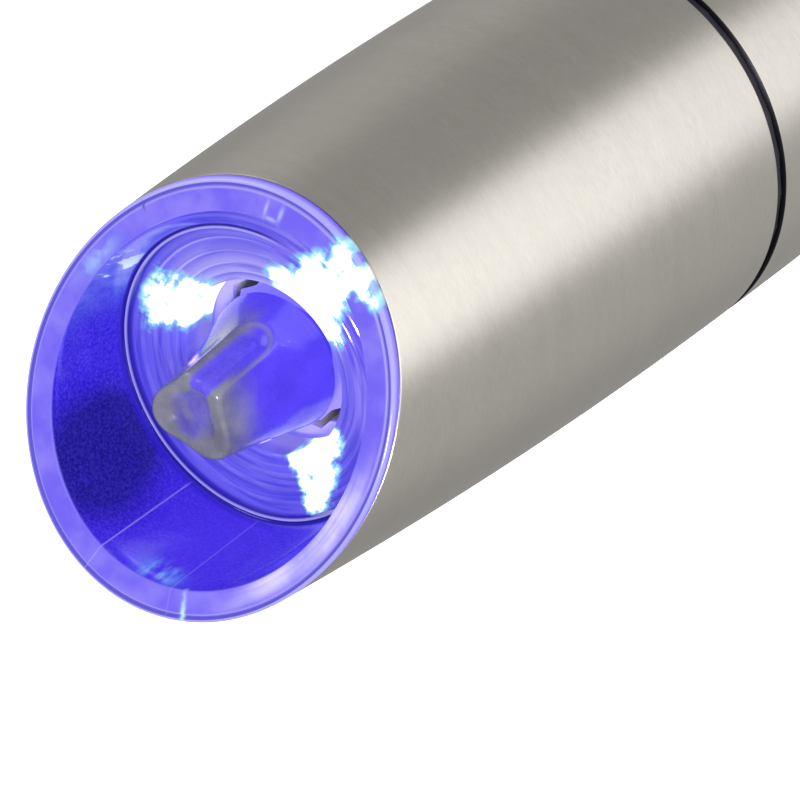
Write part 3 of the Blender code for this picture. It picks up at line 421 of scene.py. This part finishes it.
# Painted images of the lamps.
PAINTED_LAMP_SPOTS = (
    (15.6, 351, 2.3, 4.4), (10.8, 340, 2.6, 4.0), (13.2, 344, 1.6, 2.6),
    (16.5, 249, 5.0, 3.6), (12.8, 260, 2.4, 3.6), (12.6, 238, 2.2, 3.6), (20.5, 243, 2.6, 2.8),
    (24.0, 240, 1.1, 4.4),
    (12.0, 155, 1.8, 2.4), (13.4, 140, 2.5, 2.8), (16.6, 130, 2.3, 2.6), (12.0, 124, 1.2, 1.6),
)
# Painted shade on the wall.
WALL_SHADES = (((13.5, 15.0, 196.5), 7.5), ((14.0, 14.0, 189.5), 5.0))  # centre and size in mm
# A cyan glow painted on the wall.
WALL_CYAN_GLOW = ((-2.0, 20.3, 201.5), 2.3)
# Pale lines of painted light down the wall.
WALL_PALE_LINES = (((21.0, 73.5, 4.0, 0.09), 0.55), ((21.0, 104, 4.0, 0.09), 0.25))  # place and strength


class BellPaintedLight(RoundFinish):
    """Clear bell, its colour painted with the lamps' blue light and shade and given out as glow.

    The ground colour follows the band number that bell() writes. Over it lie painted rings of light on the
    floor, painted shade on one side of the wall, and painted images of the lamps, burnt out to white with
    a cyan fringe.
    """

    def __init__(self, name):
        super().__init__(name)
        self.band = self.attribute("band")
        self.ragged = self.noise(self.vector("MULTIPLY", self.here, (1.0, 1.0, 0.4)), 430.0, 4.0, 0.56)
        self.cloud = self.noise(self.here, 150.0, 3.0, 0.55)
        self.speck = self.noise(self.here, 2600.0, 3.0, 0.75)
        turn = [self.times(self.math("DIVIDE", axis, self.radius), 1.1) for axis in (self.x, self.y)]
        self.rings = self.noise(self.join(self.times(self.radius, 900.0), *turn), 1.0, 3.0, 0.55)

        colour = self.ground()
        colour = self.mix(self.between_bands(0.98, 1.02, 1.90, 1.98), colour, self.wall())
        colour = self.mix(self.between_bands(2.9, 3.1, 4.2, 4.6), colour, self.floor())
        colour = self.near_side(colour)
        colour = self.mix(self.between_bands(0.24, 0.32, 0.94, 1.0), colour, self.lip())
        colour = self.marks(colour)
        hot = self.painted_lamp_images()
        colour = self.mix(self.span(hot, 0.20, 0.50), colour, CYAN)
        colour = self.mix(self.span(hot, 0.42, 0.68), colour, WHITE)
        # The painted colour is given out as glow, though the bell is no lamp, over its own colour darkened
        # to a quarter.
        self.set(Base_Color=self.mix(0.75, colour, BLACK), Roughness=0.14, IOR=1.49)
        self.set(Transmission_Weight=0.1)
        self.set(Emission_Color=colour, Emission_Strength=self.span(hot, 0.3, 0.6, 0.66, 1.05))
        self.set(Coat_Weight=0.2, Coat_Roughness=0.05, Specular_IOR_Level=0.35)
        self.bump(self.noise(self.here, 900.0, 3.0, 0.6), 0.05, 0.05 * MM)

    def band_span(self, low, high):
        return self.span(self.band, low, high)

    def rings_span(self, low, high, to_low=0.0, to_high=1.0):
        return self.span(self.rings, low, high, to_low, to_high)

    def between_bands(self, start, full, fading, gone):
        """Share that comes in from one band number to the next and goes out again over the last two."""
        return self.times(self.band_span(start, full), self.band_span(gone, fading))

    def ground(self):
        """Colour by band number alone."""
        share = self.math("MULTIPLY_ADD", self.band, 1 / BAND_COUNT, -FIRST_BAND / BAND_COUNT)
        stops = [((band - FIRST_BAND) / BAND_COUNT, colour) for band, colour in BELL_BANDS]
        return self.ramp(share, stops)

    def wall(self):
        """Painted shade where no lamp looks at it, painted light brighter low down and in a glare and a
        cyan glow, with grain.
        """
        colour = self.mix(self.span(self.speck, 0.38, 0.66, 0.0, 0.7), *WALL_GRAIN)
        colour = self.mix(self.times(self.patch(*BRIGHT_WALL), 0.55), colour, (0.085, 0.035, 0.86))
        dark = self.plus(*(self.glow_at(self.here, *shade) for shade in WALL_SHADES))
        dark = self.times(self.span(dark, 0.05, 0.75), self.span(self.cloud, 0.2, 0.5, 0.8, 1.0))
        shade = self.mix(self.span(self.speck, 0.38, 0.66), *SHADE_GRAIN)
        colour = self.mix(self.times(dark, 0.9), colour, shade)
        painted_glare = self.times(self.patch(*LEFT_GLARE), self.span(self.ragged, 0.30, 0.60, 0.35, 1.1))
        colour = self.mix(self.times(painted_glare, 0.8), colour, (0.20, 0.30, 0.88))
        colour = self.mix(self.span(painted_glare, 0.72, 0.95), colour, (0.75, 0.95, 1.0))
        painted_cyan_glow = self.times(self.glow_at(self.here, *WALL_CYAN_GLOW), self.span(self.ragged, 0.4, 0.62))
        colour = self.mix(painted_cyan_glow, colour, (0.20, 0.48, 0.88))
        painted_low_side_light = self.times(self.span(self.facing(290), 0.55, 0.85), 0.85)
        return self.mix(painted_low_side_light, colour, self.mix(self.rings_span(0.4, 0.6), *LOW_WALL_GRAIN))

    def floor(self):
        """Rings of painted light, palest on the far side, with painted highlights on the steps' edges."""
        far = self.span(self.facing(288), 0.0, 0.80)
        treads = self.ramp(self.math("SUBTRACT", self.band, 3.0), FLOOR_TREADS)
        colour = self.mix(self.rings_span(0.40, 0.60), *FLOOR_GRAIN)
        colour = self.mix(self.math("MULTIPLY_ADD", far, 0.75, 0.20), colour, treads)
        return self.mix(self.times(self.rings_span(0.52, 0.62), 0.35), colour, (0.07, 0.055, 0.70))

    def near_side(self, colour):
        """Carries the lip's painted light down the near side, in drawn-out streaks."""
        outside = self.span(self.radius, 13.0 * MM, 14.5 * MM)
        near = self.times(self.span(self.facing(222), 0.55, 0.80), outside)
        streaks = self.mix(self.rings_span(0.38, 0.62), *STREAK_GRAIN)
        return self.mix(self.times(near, self.band_span(0.9, 1.1)), colour, streaks)

    def lip(self):
        """Faint drift in the painted glow, painted sheens as pale patches and a painted glint."""
        colour = self.mix(self.span(self.cloud, 0.35, 0.65), *LIP_GRAIN)
        gleam = self.times(self.patches(LIP_GLEAMS, "ADD"), self.rings_span(0.34, 0.56, 0.45, 1.0))
        gleam = self.times(gleam, self.span(self.cloud, 0.28, 0.55, 0.55, 0.95))
        colour = self.mix(gleam, colour, (0.78, 0.72, 0.95))
        glint = self.times(self.patch(*LIP_GLINT), self.span(self.ragged, 0.35, 0.60, 0.15, 0.75))
        return self.mix(glint, colour, (0.36, 0.55, 0.90))

    def marks(self, colour):
        """A bright line of painted light across the lip, a gate mark and a tick in the lip, and pale lines
        of painted light down the wall.
        """
        inside = self.between_bands(-0.1, 0.0, 1.0, 1.03)
        bright_line = self.times(self.patch(*LIP_BRIGHT_LINE), self.span(self.ragged, 0.32, 0.5))
        colour = self.mix(self.times(bright_line, inside), colour, (0.55, 0.85, 0.95))
        gate = self.times(self.patches(GATE_MARKS, "MAXIMUM"), 0.7)
        colour = self.mix(gate, colour, (0.50, 0.56, 0.90))
        colour = self.mix(self.times(self.patch(*LIP_TICK), inside), colour, (0.10, 0.09, 0.45))
        for place, strength in WALL_PALE_LINES:
            pale_line = self.times(self.patch(*place), self.band_span(2.0, 1.9))
            colour = self.mix(self.times(pale_line, strength), colour, (0.42, 0.40, 0.92))
        return colour

    def painted_lamp_images(self):
        """How hot a point is with the painted images of the lamps: over the floor, and up the wall on the
        side towards the camera.
        """
        hot = self.times(self.patches(PAINTED_LAMP_SPOTS, "ADD"), self.span(self.ragged, 0.28, 0.66, 0.45, 1.45))
        hot = self.times(hot, self.rings_span(0.3, 0.6, 0.8, 1.1))
        near_wall = self.span(self.facing(245), 0.8, 0.9)
        return self.times(hot, self.math("MAXIMUM", self.band_span(2.7, 3.0), near_wall))


def knob_plastic():
    """Satin grey knob with the bell's blue light painted on near its seat, in its scoop and its well, and
    given out as glow.
    """
    f = RoundFinish("knob_plastic")
    dip = f.attribute("scoop")
    cloud = f.noise(f.here, 240.0, 3.0)
    texture = f.noise(f.here, 2200.0, 3.0, 0.6)
    # Painted light: greyer on the side where white light comes in, bluer on the near side.
    painted_grey_side = f.span(f.facing(308), 0.60, 0.90, 0.0, 7.0 * MM)
    painted_blue_side = f.span(f.facing(205), 0.2, 0.8, 0.0, 1.2 * MM)
    level = f.math("SUBTRACT", f.plus(f.z, painted_grey_side), painted_blue_side)
    level = f.plus(level, f.span(cloud, 0.3, 0.7, -0.8 * MM, 0.8 * MM))
    seat = f.span(level, KNOB_TOP - 1.5 * MM, KNOB_SEAT + 8.0 * MM)
    near_end = f.span(f.z, KNOB_TOP - 2.0 * MM, KNOB_TOP - 1.3 * MM)
    well = f.times(near_end, f.span(f.radius, 3.6 * MM, 2.4 * MM))
    well = f.times(well, f.span(f.noise(f.here, 420.0, 2.0), 0.36, 0.56, 0.35, 1.0))
    hollow = f.times(f.span(dip, 0.30, 0.85), 0.85)
    blue = f.math("MAXIMUM", f.math("MAXIMUM", seat, f.times(well, 0.75)), hollow)
    # Less painted blue on the scoop's rim.
    rim = f.times(f.span(dip, 0.02, 0.12), f.span(dip, 0.42, 0.22))
    blue = f.times(blue, f.math("MULTIPLY_ADD", rim, -0.6, 1.0))
    grey = f.mix(f.span(cloud, 0.3, 0.7), (0.085, 0.083, 0.088), (0.15, 0.148, 0.155))
    f.set(Base_Color=f.mix(blue, grey, (0.035, 0.022, 0.16)), Specular_IOR_Level=0.35)
    f.set(Roughness=f.span(texture, 0.3, 0.7, 0.24, 0.32))
    # Painted blue light, mottled darker in the well.
    deep = f.mix(f.span(cloud, 0.35, 0.65), (0.036, 0.020, 0.66), (0.062, 0.036, 0.84))
    mottled = f.mix(f.span(cloud, 0.42, 0.55), (0.020, 0.016, 0.30), (0.07, 0.065, 0.50))
    deep = f.mix(well, deep, mottled)
    # The painted blue light is given out as glow, though the knob is no lamp.
    f.set(Emission_Color=f.mix(blue, (0.012, 0.012, 0.09), deep), Emission_Strength=0.85)
    f.set(Coat_Weight=0.3, Coat_Roughness=0.04)
    f.bump(texture, 0.02, 0.02 * MM)
    return f


BOARD = moulded("board_green", (0.012, 0.10, 0.04), 0.35, 1500.0, 0.2)
JACKET = moulded("cell_jacket", (0.035, 0.045, 0.07), 0.25, 1200.0, 0.03)
SLOT_FINISHES = {
    "brushed_steel": brushed_steel(),
    "bright_steel": metal("bright_steel", (0.66, 0.66, 0.67), 0.20, 260.0),
    "brass": metal("brass", (0.78, 0.56, 0.24), 0.28, 300.0, 0.25),
    "black_plastic": moulded("black_plastic", (0.014, 0.013, 0.019), 0.5, specular=0.14),
    "grey_plastic": moulded("grey_plastic", (0.19, 0.19, 0.20), 0.5),
    "white_plastic": moulded("white_plastic", (0.74, 0.73, 0.69), 0.42),
    "rubber": moulded("rubber", (0.016, 0.016, 0.017), 0.78, 1800.0, 0.3, 0.3),
    "ceramic": lit_ceramic(),
    "board_green": changed_above(BOARD, BOARD_TOP, (0.025, 0.025, 0.028), 0.0),
    "cell_jacket": changed_above(JACKET, CELL_SHOULDER, (0.62, 0.61, 0.58), 1.0),
    "lamp_blue": moulded("lamp_blue", (0.30, 0.45, 1.0), 0.12, 1500.0, 0.02),
    "clear_acrylic": BellPaintedLight("acrylic_painted_light"),
    "knob_plastic": knob_plastic(),
}


# Shapes.


def barrel_radius(z):
    """Outer radius of the mill at height z."""
    below = (WIDEST_RADIUS - FOOT_RADIUS) / WIDEST_HEIGHT**2
    above = (WIDEST_RADIUS - MOUTH_RADIUS) / (MOUTH_HEIGHT - WIDEST_HEIGHT) ** 2
    bow = above if z > WIDEST_HEIGHT else below
    return WIDEST_RADIUS - SKIN - bow * (z - WIDEST_HEIGHT) ** 2


def on_barrel(inset, z):
    """Outline point inset under the barrel surface at height z."""
    return lambda angle: (barrel_radius(z) - inset, z)


def on_mouth(inset, drop):
    """Outline point inset under the barrel surface and drop below the mouth plane."""

    def place(angle):
        z = MOUTH_HEIGHT
        for _ in range(4):
            z = MOUTH_HEIGHT + MOUTH_SLANT * (barrel_radius(z) - inset) * math.sin(angle) - drop
        return barrel_radius(z) - inset, z

    return place


def between(first, second, share):
    """Outline point part of the way up the barrel surface from first to second."""

    def place(angle):
        r0, z0 = first(angle)
        r1, z1 = second(angle)
        z = z0 + share * (z1 - z0)
        inset = (barrel_radius(z0) - r0) * (1 - share) + (barrel_radius(z1) - r1) * share
        return barrel_radius(z) - inset, z

    return place


def lathe(outline, segments):
    """Closed turned mesh. Outline points are (radius, height) or functions of the angle."""
    bm = bmesh.new()
    rings = []
    angles = [TAU * i / segments for i in range(segments)]
    for point in outline:
        place = point if callable(point) else (lambda angle, p=point: p)
        if place(0)[0] <= 0:
            rings.append([bm.verts.new((0, 0, place(0)[1]))])
        else:
            rings.append([bm.verts.new((*polar(place(a)[0], a), place(a)[1])) for a in angles])
    for a, b in zip(rings, rings[1:] + rings[:1]):
        if len(a) == 1 and len(b) == 1:
            continue
        for i in range(segments):
            j = (i + 1) % segments
            corners = [a[i % len(a)], a[j % len(a)], b[j % len(b)], b[i % len(b)]]
            bm.faces.new(list(dict.fromkeys(corners)))
    return bm


def placed(name, data, location=(0, 0, 0)):
    made = bpy.data.objects.new(name, data)
    made.location = location
    bpy.context.scene.collection.objects.link(made)
    return made


def piece(name, bm, body, slot, replaced, sharp=35):
    """Object from a bmesh that rides on a body, stands for a CAD node and takes its slot's finish."""
    bmesh.ops.recalc_face_normals(bm, faces=bm.faces)
    mesh = bpy.data.meshes.new(name)
    bm.to_mesh(mesh)
    bm.free()
    mesh.shade_smooth()
    mesh.set_sharp_from_angle(angle=math.radians(sharp))
    mesh.materials.append(SLOT_FINISHES[slot].material)
    made = placed(name, mesh)
    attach(made, body)
    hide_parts(replaced)
    return made


# Sleeves.


def sleeve(node, body, low, high):
    """Thin steel shell with its edges broken."""

    def moved(point, inset, rise):
        return lambda angle: (point(angle)[0] - inset, point(angle)[1] + rise)

    edge, part = SLEEVE_EDGE, 0.3 * SLEEVE_EDGE
    shares = [0.0, *SLEEVE_END_SHARES, *(i / SLEEVE_ROWS for i in range(1, SLEEVE_ROWS))]
    shares += [*(1 - share for share in reversed(SLEEVE_END_SHARES)), 1.0]
    outline = [moved(low, edge, 0), moved(low, part, part)]
    outline += [between(moved(low, 0, edge), moved(high, 0, -edge), share) for share in shares]
    outline += [moved(high, part, -part), moved(high, edge, 0)]
    inner_low, inner_high = moved(low, SLEEVE_WALL, 0), moved(high, SLEEVE_WALL, 0)
    rows = range(SLEEVE_INNER_ROWS + 1)
    outline += [between(inner_low, inner_high, 1 - i / SLEEVE_INNER_ROWS) for i in rows]
    piece(f"{node}_shell", lathe(outline, SHELL_SEGMENTS), body, "brushed_steel", node)


def sleeves():
    rear_low, rear_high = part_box("rear_sleeve")
    front_low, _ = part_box("front_sleeve")
    sleeve("rear_sleeve", "rear_casing", on_barrel(0, rear_low.z), on_barrel(0, rear_high.z))
    sleeve("front_sleeve", "head", on_barrel(0, front_low.z), on_mouth(0, LIP_HEIGHT))


# Bell. Its outline is a list of points with their band numbers.

wall_top = on_mouth(LIP_WIDTH, WALL_TOP_DROP)


def bell_skirt(foot):
    """The skirt's outside, up to the lip's shoulder and out round it."""
    drop = LIP_HEIGHT - 0.2 * MM
    low, high = on_barrel(SKIRT_INSET, foot), on_mouth(SKIRT_INSET, drop)
    rows = [(between(low, high, i / SKIRT_ROWS), -1) for i in range(SKIRT_ROWS + 1)]
    return rows + [(on_mouth(0.05 * MM, drop), -0.2), (on_mouth(0, drop - 0.1 * MM), -0.15)]


def bell_lip():
    """The turned outer edge, and the lip with its shallow groove."""
    rows = []
    for k in range(LIP_TURN_STEPS + 1):
        a = math.pi / 2 * k / LIP_TURN_STEPS
        inset = LIP_TURN * (1 - math.cos(a))
        rows.append((on_mouth(inset, LIP_TURN * (1 - math.sin(a))), inset / LIP_WIDTH - 0.06))
    rows += [(on_mouth(inset * MM, drop * MM), inset * MM / LIP_WIDTH) for inset, drop in LIP_GROOVE]
    inner_edge = 0.12 * MM
    return rows + [(on_mouth(LIP_WIDTH - inner_edge, inner_edge), 0.97), (wall_top, 1.0)]


def wall_foot(angle):
    """Foot of the wall, which stays under the wall's top on the low side."""
    return FLOOR_RADIUS + BEAD_WIDTH, min(FLOOR_HEIGHT + BEAD_HEIGHT, wall_top(angle)[1] - WALL_LEAST)


def bell_wall():
    """The wall, and the bead at its foot."""

    def down(share):
        def place(angle):
            r, z = wall_top(angle)
            foot_r, foot_z = wall_foot(angle)
            return r + (foot_r - r) * share, z + (foot_z - z) * share
        return place

    def beside_foot(inset, drop):
        return lambda angle: (wall_foot(angle)[0] - inset, wall_foot(angle)[1] - drop)

    rows = [(down(k / WALL_ROWS), 1 + k / WALL_ROWS) for k in range(1, WALL_ROWS + 1)]
    return rows + [(beside_foot(inset * MM, drop * MM), band) for inset, drop, band in BEAD_ROWS]


def bell_floor():
    """The floor in fine steps, each with a raised edge, down to the throat's rounded corner."""
    tread = FLOOR_HEIGHT
    rows = [((FLOOR_RADIUS - 0.25 * MM, tread + 0.05 * MM), 3.0)]
    for edge in FLOOR_EDGES:
        step = [(edge + out * MM, tread + rise * MM) for out, rise in STEP_ABOVE]
        tread -= FLOOR_STEP
        step += [(edge + out * MM, tread + rise * MM) for out, rise in STEP_BELOW]
        rows += [((r, z), 3 + (FLOOR_RADIUS - r) / (FLOOR_RADIUS - THROAT_RADIUS)) for r, z in step]
    corner = 0.2 * MM
    return rows + [((THROAT_RADIUS + corner, tread), 4.0), ((THROAT_RADIUS, tread - corner), 4.1)]


def bell():
    """Clear mouth piece with a broken outer edge, a bead at the wall's foot and a floor in fine steps.

    Every ring carries a band number for the bell's painted light: 0 to 1 across the lip, 1 to 2 down the
    wall,
    2 to 3 over the bead, 3 to 4 across the floor, and on from 4 in the throat.
    """
    low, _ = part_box("bell")
    outline = bell_skirt(low.z) + bell_lip() + bell_wall() + bell_floor()
    outer = THROAT_RADIUS + THROAT_WALL
    outline += [((THROAT_RADIUS, THROAT_FOOT), 5), ((outer, THROAT_FOOT), 5)]
    outline.append(((outer, FLOOR_CEILING), 5))
    outline += [((SKIRT_INNER_RADIUS, FLOOR_CEILING), 5), ((SKIRT_INNER_RADIUS, low.z), -1)]
    bm = lathe([point for point, _ in outline], SHELL_SEGMENTS)
    made = piece("bell_mouth", bm, "head", "clear_acrylic", "bell", 28)
    band = made.data.attributes.new("band", "FLOAT", "POINT")
    for i, entry in enumerate(band.data):
        entry.value = outline[i // SHELL_SEGMENTS][1]


# Knob.


def smooth(value):
    """Soft step from 0 to 1."""
    value = min(1.0, max(0.0, value))
    return value * value * (3 - 2 * value)


def knob_radius(angle, z):
    """Three lobes on a taper, with hollow faces between them that fill in towards the seat."""
    share = (z - KNOB_SEAT) / (KNOB_TOP - KNOB_SEAT)
    lobe = KNOB_SEAT_RADIUS + (KNOB_TOP_RADIUS - KNOB_SEAT_RADIUS) * share
    hollow = KNOB_HOLLOW * smooth(share / KNOB_HOLLOW_FULL)
    return lobe * (1 - hollow * (0.5 - 0.5 * math.cos(3 * (angle - KNOB_LOBE_ANGLE))))


def scoop(angle, z, radius):
    """Share of its full depth that the finger scoop has at a point. It runs up from an arch to the end."""
    off = (angle - SCOOP_ANGLE + math.pi) % TAU - math.pi
    if abs(off) > math.pi / 2:
        return 0.0
    across = radius * math.sin(off)
    below = max(0.0, SCOOP_FOOT + SCOOP_HALF_WIDTH - z)
    return smooth((SCOOP_HALF_WIDTH - math.hypot(across, below)) / SCOOP_EDGE)


def knob():
    """Lobed knob with a finger scoop up its front, a turned end and a shallow well in it.

    Every point carries its share of the scoop's depth, for the painted blue light in the scoop.
    """
    top = KNOB_TOP - SKIN
    low, high = KNOB_SEAT + KNOB_SEAT_EDGE, top - KNOB_END_TURN

    def flank(z, inset):
        def place(angle):
            r = knob_radius(angle, z)
            return r - inset - SCOOP_DEPTH * scoop(angle, z, r), z
        return place

    def end(share, drop):
        return lambda angle: (share * (knob_radius(angle, top) - KNOB_END_TURN), top - drop)

    outline = [(KNOB_THREAD[-1][0] * MM, KNOB_FOOT), (KNOB_NECK_RADIUS, KNOB_FOOT)]
    outline += [(KNOB_NECK_RADIUS, KNOB_SEAT - 0.05 * MM), flank(KNOB_SEAT, 0.3 * MM)]
    outline += [flank(low + (high - low) * i / KNOB_ROWS, 0) for i in range(KNOB_ROWS + 1)]
    for k in range(1, KNOB_TURN_STEPS + 1):
        a = math.pi / 2 * k / KNOB_TURN_STEPS
        outline.append(flank(high + KNOB_END_TURN * math.sin(a), KNOB_END_TURN * (1 - math.cos(a))))
    outline += [end(share, drop * MM) for share, drop in KNOB_WELL] + [(0, top - KNOB_WELL_DEPTH)]
    outline += [(r * MM, z * MM) for r, z in KNOB_THREAD]
    bm = lathe(outline, KNOB_SEGMENTS)
    made = piece("finger_knob", bm, "knob", "knob_plastic", "coarseness_knob", 50)
    depth = made.data.attributes.new("scoop", "FLOAT", "POINT")
    for vert, entry in zip(made.data.vertices, depth.data):
        angle = math.atan2(vert.co.y, vert.co.x)
        r = knob_radius(angle, vert.co.z)
        outer = math.hypot(vert.co.x, vert.co.y) > 0.75 * r - SCOOP_DEPTH
        entry.value = scoop(angle, vert.co.z, r) if outer and vert.co.z > KNOB_SEAT else 0.0


# Everything else keeps its CAD shape and takes its slot's finish.


def smooth_group():
    """Node group that shades smoothly across every edge but the sharp ones."""
    group = bpy.data.node_groups.new("smooth_by_angle", "GeometryNodeTree")
    for direction in ("INPUT", "OUTPUT"):
        group.interface.new_socket("Geometry", in_out=direction, socket_type="NodeSocketGeometry")
    n = Nodes(group)
    start, end = n.node("NodeGroupInput"), n.node("NodeGroupOutput")
    plain = n.node("GeometryNodeRemoveAttribute")
    plain.inputs["Name"].default_value = "custom_normal"
    faces = n.node("GeometryNodeSetShadeSmooth", domain="FACE")
    edges = n.node("GeometryNodeSetShadeSmooth", domain="EDGE")
    edges.inputs["Shade Smooth"].default_value = False
    sharp = n.node("FunctionNodeCompare", operation="GREATER_THAN")
    sharp.inputs[1].default_value = math.radians(SHARP_DEGREES)
    n.feed(sharp.inputs[0], n.node("GeometryNodeInputMeshEdgeAngle").outputs[0])
    n.feed(plain.inputs["Geometry"], start.outputs[0])
    n.feed(faces.inputs["Geometry"], plain.outputs[0])
    n.feed(edges.inputs["Geometry"], faces.outputs[0])
    n.feed(edges.inputs["Selection"], sharp.outputs[0])
    n.feed(end.inputs[0], edges.outputs[0])
    return group


def carried_over():
    """Gives every CAD node its slot's finish, smooth shading and, where it is large, broken edges."""
    group = smooth_group()
    for entry in frame["record"]["subparts"]:
        node = frame["nodes"][entry["node"]]
        node.data.materials.clear()
        node.data.materials.append(SLOT_FINISHES[entry["material_slot"]].material)
        node.modifiers.new("weld", "WELD").merge_threshold = WELD_DISTANCE
        if entry["node"] in BROKEN_EDGES:
            bevel = node.modifiers.new("broken_edges", "BEVEL")
            bevel.width, bevel.segments = BROKEN_EDGE, 2
            bevel.limit_method, bevel.angle_limit = "ANGLE", math.radians(BEVEL_DEGREES)
        node.modifiers.new("smooth", "NODES").node_group = group


# Stage.

FLOOR_SIZE = 3.0
FLOOR_DROP = 0.1 * MM
SURROUND_STRENGTH = 0.43
WINDOWS = ((219, 0.79, 0.98, 1.45), (168, 0.60, 0.95, 0.26))  # azimuth, cosines of the edge, strength
WINDOW_HEIGHTS = (-1.2, -0.35)  # the windows fade out downwards between these
LIT_POINT = Vector((0, 0, 0.12))
LAMP_HEIGHT = 186.0 * MM
LAMP_POWER = 0.0006
CAMERA_AIM = Vector((-18.63, -4.86, 182.0)) * MM
CAMERA_AZIMUTH, CAMERA_ELEVATION, CAMERA_DISTANCE = 234.979, 46.473, 636.83 * MM
CAMERA_ROLL, CAMERA_FIELD = 124.762, 8.4675


def stage():
    """Pale floor, which lights the object, but isn't mirrored in it and throws no shadow."""
    bm = bmesh.new()
    bmesh.ops.create_grid(bm, x_segments=1, y_segments=1, size=FLOOR_SIZE)
    mesh = bpy.data.meshes.new("floor")
    bm.to_mesh(mesh)
    bm.free()
    f = Finish("floor")
    cloud = f.noise(f.place(), 3.0, 2.0)
    f.set(Base_Color=f.mix(cloud, (0.90, 0.90, 0.90), (0.94, 0.94, 0.94)), Roughness=0.7)
    f.set(Emission_Color=(1.0, 1.0, 1.0, 1.0), Emission_Strength=0.55)
    mesh.materials.append(f.material)
    floor = placed("floor", mesh, (0, 0, -FLOOR_DROP))
    floor.visible_glossy = False
    floor.visible_shadow = False


def surroundings():
    """Even grey all round with a broad bright window on the camera's side, and a fainter one."""
    world = bpy.data.worlds.new("studio")
    world.use_nodes = True
    bpy.context.scene.world = world
    n = Nodes(world.node_tree)
    direction = n.place("Generated")
    bearing = n.vector("NORMALIZE", n.vector("MULTIPLY", direction, (1, 1, 0)))
    fall = n.span(n.split(direction)[2], *WINDOW_HEIGHTS)
    total = SURROUND_STRENGTH
    for azimuth, low, high, strength in WINDOWS:
        facing = n.vector("DOT_PRODUCT", bearing, (*polar(1, math.radians(azimuth)), 0))
        total = n.plus(n.times(n.span(facing, low, high, 0.0, strength), fall), total)
    background = n.tree.nodes["Background"]
    n.feed(background.inputs["Strength"], total)
    n.feed(background.inputs["Color"], (1, 1, 1, 1))


def towards(azimuth, elevation):
    """Unit vector to a direction in degrees."""
    a, e = math.radians(azimuth), math.radians(elevation)
    return Vector((math.cos(a) * math.cos(e), math.sin(a) * math.cos(e), math.sin(e)))


def soft_light(name, azimuth, elevation, distance, size, power):
    """Square soft light aimed at the middle of the mill."""
    away = towards(azimuth, elevation)
    data = bpy.data.lights.new(name, "AREA")
    data.size, data.energy = size, power
    made = placed(name, data, LIT_POINT + away * distance)
    made.rotation_mode = "QUATERNION"
    made.rotation_quaternion = (-away).to_track_quat("-Z", "Y")
    made.visible_camera = False


def lamp_light(name, degrees, radius):
    """Small blue light over a lamp that travels with the head."""
    data = bpy.data.lights.new(name, "POINT")
    data.energy, data.color, data.shadow_soft_size = LAMP_POWER, (0.10, 0.07, 1.0), 0.8 * MM
    data.specular_factor = 0.1
    made = placed(name, data, (*polar(radius, math.radians(degrees)), LAMP_HEIGHT))
    made.visible_camera = False
    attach(made, "head")


def camera():
    """Camera that looks down into the mouth, rolled so that the mill leans as in the photo."""
    away = towards(CAMERA_AZIMUTH, CAMERA_ELEVATION)
    data = bpy.data.cameras.new("camera")
    data.angle = math.radians(CAMERA_FIELD)
    data.clip_start, data.clip_end = 0.05, 20.0
    made = placed("camera", data, CAMERA_AIM + away * CAMERA_DISTANCE)
    made.rotation_mode = "QUATERNION"
    level = (-away).to_track_quat("-Z", "Y")
    made.rotation_quaternion = level @ Quaternion((0, 0, 1), -math.radians(CAMERA_ROLL))
    bpy.context.scene.camera = made


carried_over()
sleeves()
bell()
knob()
stage()
surroundings()
soft_light("key", 216, 62, distance=0.9, size=0.12, power=7.0)
soft_light("fill", 320, 20, distance=1.0, size=0.6, power=3.0)
lamp_light("lamp_glow_1", 2, 9.8 * MM)
lamp_light("lamp_glow_2", 122, 9.8 * MM)
lamp_light("lamp_glow_3", 242, 11.0 * MM)
camera()
bpy.context.scene.view_settings.view_transform = "Standard"
